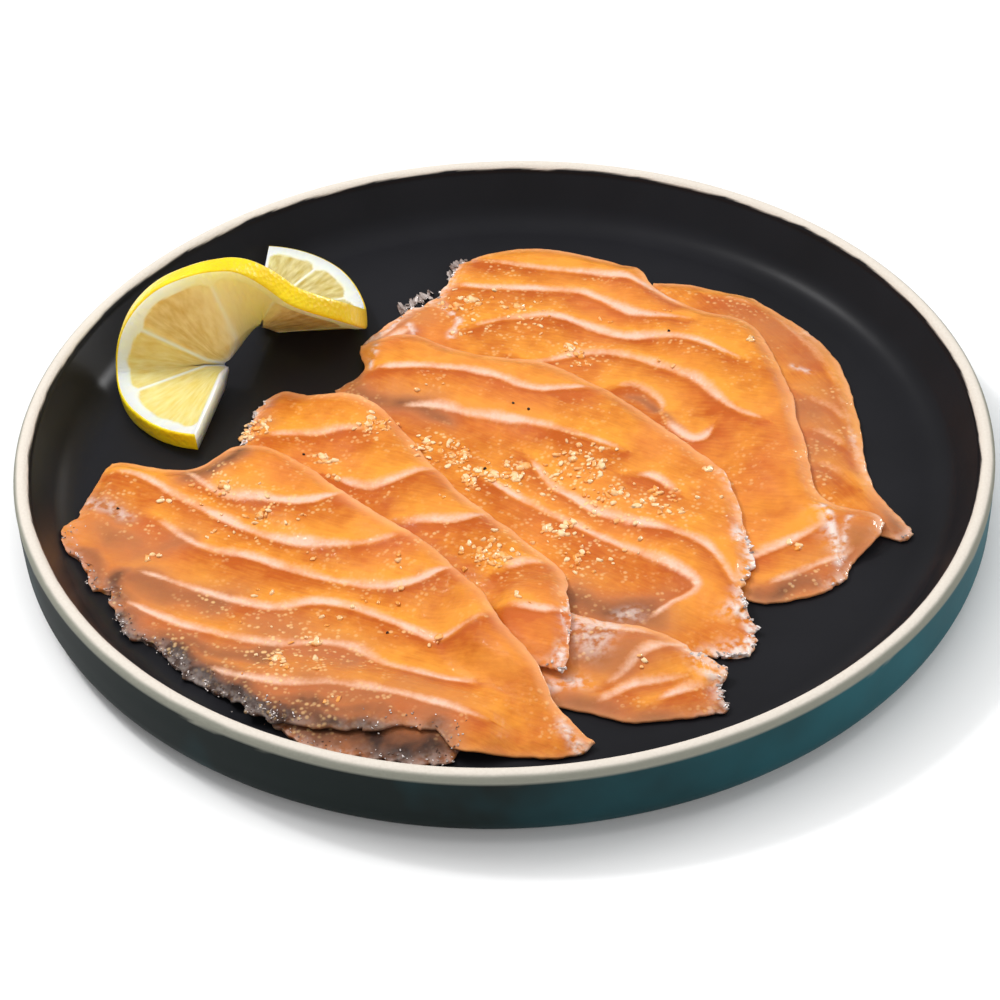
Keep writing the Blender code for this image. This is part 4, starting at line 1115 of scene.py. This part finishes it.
def make_lemon():
    radii, shares = lemon_section()
    angles = np.linspace(0, 360, LEMON_STEPS[0] + 1)
    marks, from_skin = lemon_marks(angles, radii)
    half = np.minimum(LEMON_THICKNESS / 2, LEMON_PINCH * radii) * shares
    sunk = PULP_SUNK * (1 - marks["pith"]) * (1 - marks["skin"]) * smooth_step(from_skin / SKIN_SLOPE)
    faces = lemon_faces(angles, radii, half - np.minimum(sunk, half * 0.5))
    piece = closed_sheet("lemon_slice", *faces, marks)
    polar = [read_mark(piece.data, name) for name in ("polar_angle", "polar_radius")]
    add_flow(piece.data, np.stack(polar, 1) * MM)
    paint_lemon(piece.data)
    place_piece(piece, "lemon", "lemon_twist")


# Crumbs and shreds

def crumb_places():
    """Plan places of the largest crumbs, spread evenly over each cluster's disk."""
    draw = np.random.default_rng(CRUMB_SEED)
    places = {name: [] for name in SLICES}
    for name, x, y, radius, count in CRUMB_CLUSTERS:
        for angle, share in draw.uniform(0, 1, (count, 2)):
            offset = radius * math.sqrt(share)
            turn = math.tau * angle
            place = np.array([x + offset * math.cos(turn), y + offset * math.sin(turn)])
            if all(np.linalg.norm(place - other) > CRUMB_SPACING for other in places[name]):
                places[name].append(place)
    return np.concatenate([found for found in places.values() if found])


def chip_shape(sphere, size, taper, draw):
    """An irregular chip: a sphere's points pushed in and out in broad dents, then stretched and tilted."""
    broad, fine = DENT_SCALES
    dents = noise(sphere[:, :2] * broad + draw.uniform(0, 50, 2), 1, 15)
    dents += noise(sphere[:, 1:] * broad + 9, 1, 16)
    dents += FINE_DENTS * noise(sphere[:, ::2] * fine + draw.uniform(0, 50, 2), 1, 17)
    body = sphere * (1 + CHIP_DENTS * dents)[:, None] * size
    body[:, 1:] *= 1 - taper * 0.5 * (1 + sphere[:, :1])
    tilt = np.array(Matrix.Rotation(draw.normal(0, CHIP_TILT), 3, draw.normal(size=3)))
    return body @ tilt.T


def make_chips(name, chips, heights, material, taper=0.0):
    """Joins chips (place, heading, size along, across and up, rise of the centre, tint) into one piece. Each
    is a copy of one small sphere, bent out of shape in its own way.
    """
    draw = np.random.default_rng(len(chips))
    bpy.ops.object.select_all(action="DESELECT")
    bpy.ops.mesh.primitive_ico_sphere_add(subdivisions=2, radius=1.0)
    lump = bpy.context.object
    sphere = numbers(lump.data.vertices, "co", 3)
    faces = numbers(lump.data.loops, "vertex_index", 1, np.int32).reshape(-1, 3)
    bpy.data.objects.remove(lump)
    points = []
    for place, heading, size, rise, _ in chips:
        body = chip_shape(sphere, size, taper, draw)
        turn = np.array([[math.cos(heading), math.sin(heading)], [-math.sin(heading), math.cos(heading)]])
        body[:, :2] = body[:, :2] @ turn
        level = max(read_map(heights, place), fillet_height(place)) + rise
        points.append(body + (*place, level))
    polygons = (faces + np.arange(len(chips))[:, None, None] * len(sphere)).reshape(-1, 3)
    mesh = bpy.data.meshes.new(name)
    mesh.from_pydata((np.concatenate(points) * MM).tolist(), [], polygons.tolist())
    piece = bpy.data.objects.new(name, mesh)
    bpy.context.scene.collection.objects.link(piece)
    mesh.shade_smooth()
    add_mark(mesh, "tint", np.repeat([chip[-1] for chip in chips], len(sphere)))
    mesh.materials.append(material)
    place_piece(piece, "raw_salmon")


def make_crumbs(heights):
    """Garlic chips on and round the clusters, and a few on their own."""
    draw = np.random.default_rng(CRUMB_SEED + 1)
    spread_out, each, sizes = CRUMB_HEAP
    heaps = [(place, spread_out, each, sizes, CRUMB_RADIUS) for place in crumb_places()]
    share, each, sizes = CLUSTER_HEAP
    heaps += [((x, y), radius * share, count * each, sizes, 1)
              for _, x, y, radius, count in CRUMB_CLUSTERS]
    heaps += [(place, *SINGLE_HEAP, 1) for place in CRUMB_SINGLES]
    found = []
    for middle, spread_out, count, sizes, scale in heaps:
        places = draw.normal(middle, spread_out, (count, 2))
        found += [(place, scale * draw.uniform(*sizes)) for place in places]
    chips = [(place, draw.uniform(0, math.tau), radius * draw.uniform(*CHIP_STRETCH), CHIP_SINK,
              draw.uniform(*CRUMB_TINTS)) for place, radius in found]
    make_chips("garlic_crumbs", chips, heights, minced_garlic())


def make_pepper(heights):
    draw = np.random.default_rng(PEPPER_SEED)
    chips = [(np.array(place, float), draw.uniform(0, math.tau), PEPPER_SIZE, CHIP_SINK, 0)
             for place in PEPPER]
    make_chips("pepper_specks", chips, heights, cracked_pepper())


def edge_shreds(draw, torn):
    """Pale flaps or small glassy specks along the torn edges."""
    chips = []
    for place, out, strength, pale in torn:
        specks = pale < 0.5
        for _ in range(draw.poisson(strength * (SPECK_DENSITY if specks else FLAP_DENSITY))):
            heading = math.atan2(out[1], out[0]) + draw.normal(0, FRINGE_TURN)
            if specks:
                size = draw.uniform(*FRINGE_SPECKS)
                spot = place + out * draw.uniform(*SPECK_REACH) + draw.normal(0, SPECK_SCATTER, 2)
                # A pale speck tint is a painted highlight, a glint on the wet margin.
                tint = draw.uniform(*SPECK_TINTS)
            else:
                size = draw.uniform(*FRINGE_FLAPS) * (0.5 + 0.5 * strength)
                spot = place + out * draw.uniform(*FLAP_REACH)
                tint = draw.uniform(*FLAP_TINTS)
            chips.append((spot, heading, size, draw.uniform(*FRINGE_RISE), tint))
    return chips


def fin_strips(draw):
    """The strips of the fins of tissue."""
    chips = []
    for start, stop, heading, reach, count in TUFTS:
        for spot in np.linspace(start, stop, count):
            turn = math.radians(heading + draw.normal(0, TUFT_TURN))
            size = (reach * draw.uniform(*TUFT_LENGTHS), draw.uniform(*TUFT_WIDTHS), TUFT_DEPTH)
            spot = spot + draw.normal(0, TUFT_SCATTER, 2)
            chips.append((spot, turn, size, draw.uniform(*TUFT_RISE), draw.uniform(*TUFT_TINTS)))
    return chips


def make_fringe(heights, torn):
    """Shreds of tissue along the torn edges, and two fins of longer strips."""
    draw = np.random.default_rng(FRINGE_SEED)
    chips = edge_shreds(draw, torn) + fin_strips(draw)
    make_chips("torn_tissue", chips, heights, torn_membrane(), taper=TUFT_TAPER)


# Stage

def aim(item, position, target, roll=0.0):
    """Puts a camera or light at a position, looking at a target."""
    turn = (Vector(target) - Vector(position)).to_track_quat("-Z", "Y").to_matrix().to_4x4()
    item.matrix_world = Matrix.Translation(position) @ turn @ Matrix.Rotation(math.radians(roll), 4, "Z")


def make_camera():
    camera = bpy.data.objects.new("camera", bpy.data.cameras.new("camera"))
    bpy.context.scene.collection.objects.link(camera)
    camera.data.lens = VIEW_LENS
    camera.data.clip_start, camera.data.clip_end = VIEW_CLIP
    rise = math.radians(VIEW_ELEVATION)
    back = Vector((0, -math.cos(rise), math.sin(rise))) * VIEW_DISTANCE
    aim(camera, Vector(VIEW_TARGET) + back, VIEW_TARGET, VIEW_ROLL)
    bpy.context.scene.camera = camera


def make_stage():
    bpy.ops.object.select_all(action="DESELECT")
    bpy.ops.mesh.primitive_plane_add(size=FLOOR_SIZE, location=(0, 0, 0))
    floor = bpy.context.object
    floor.name = "floor"
    floor.data.materials.append(plain_floor())
    world = bpy.data.worlds.new("studio")
    world.use_nodes = True
    world.node_tree.nodes["Background"].inputs["Color"].default_value = colour("#FFFFFF")
    world.node_tree.nodes["Background"].inputs["Strength"].default_value = WORLD_STRENGTH
    bpy.context.scene.world = world


def make_lights():
    for name, (position, width, height, watts, matt, shiny) in LIGHTS.items():
        data = bpy.data.lights.new(name, "AREA")
        data.shape = "RECTANGLE"
        data.size, data.size_y = width, height
        data.energy = watts
        light = bpy.data.objects.new(name, data)
        light.visible_diffuse = matt
        light.visible_glossy = shiny
        bpy.context.scene.collection.objects.link(light)
        aim(light, position, (0, 0, 0))


make_camera()
make_stage()
make_lights()
make_plate()
top_map, torn_edges = make_slices()
make_crumbs(top_map)
make_pepper(top_map)
make_fringe(top_map, torn_edges)
make_lemon()
bpy.context.scene.view_settings.view_transform = "Standard"
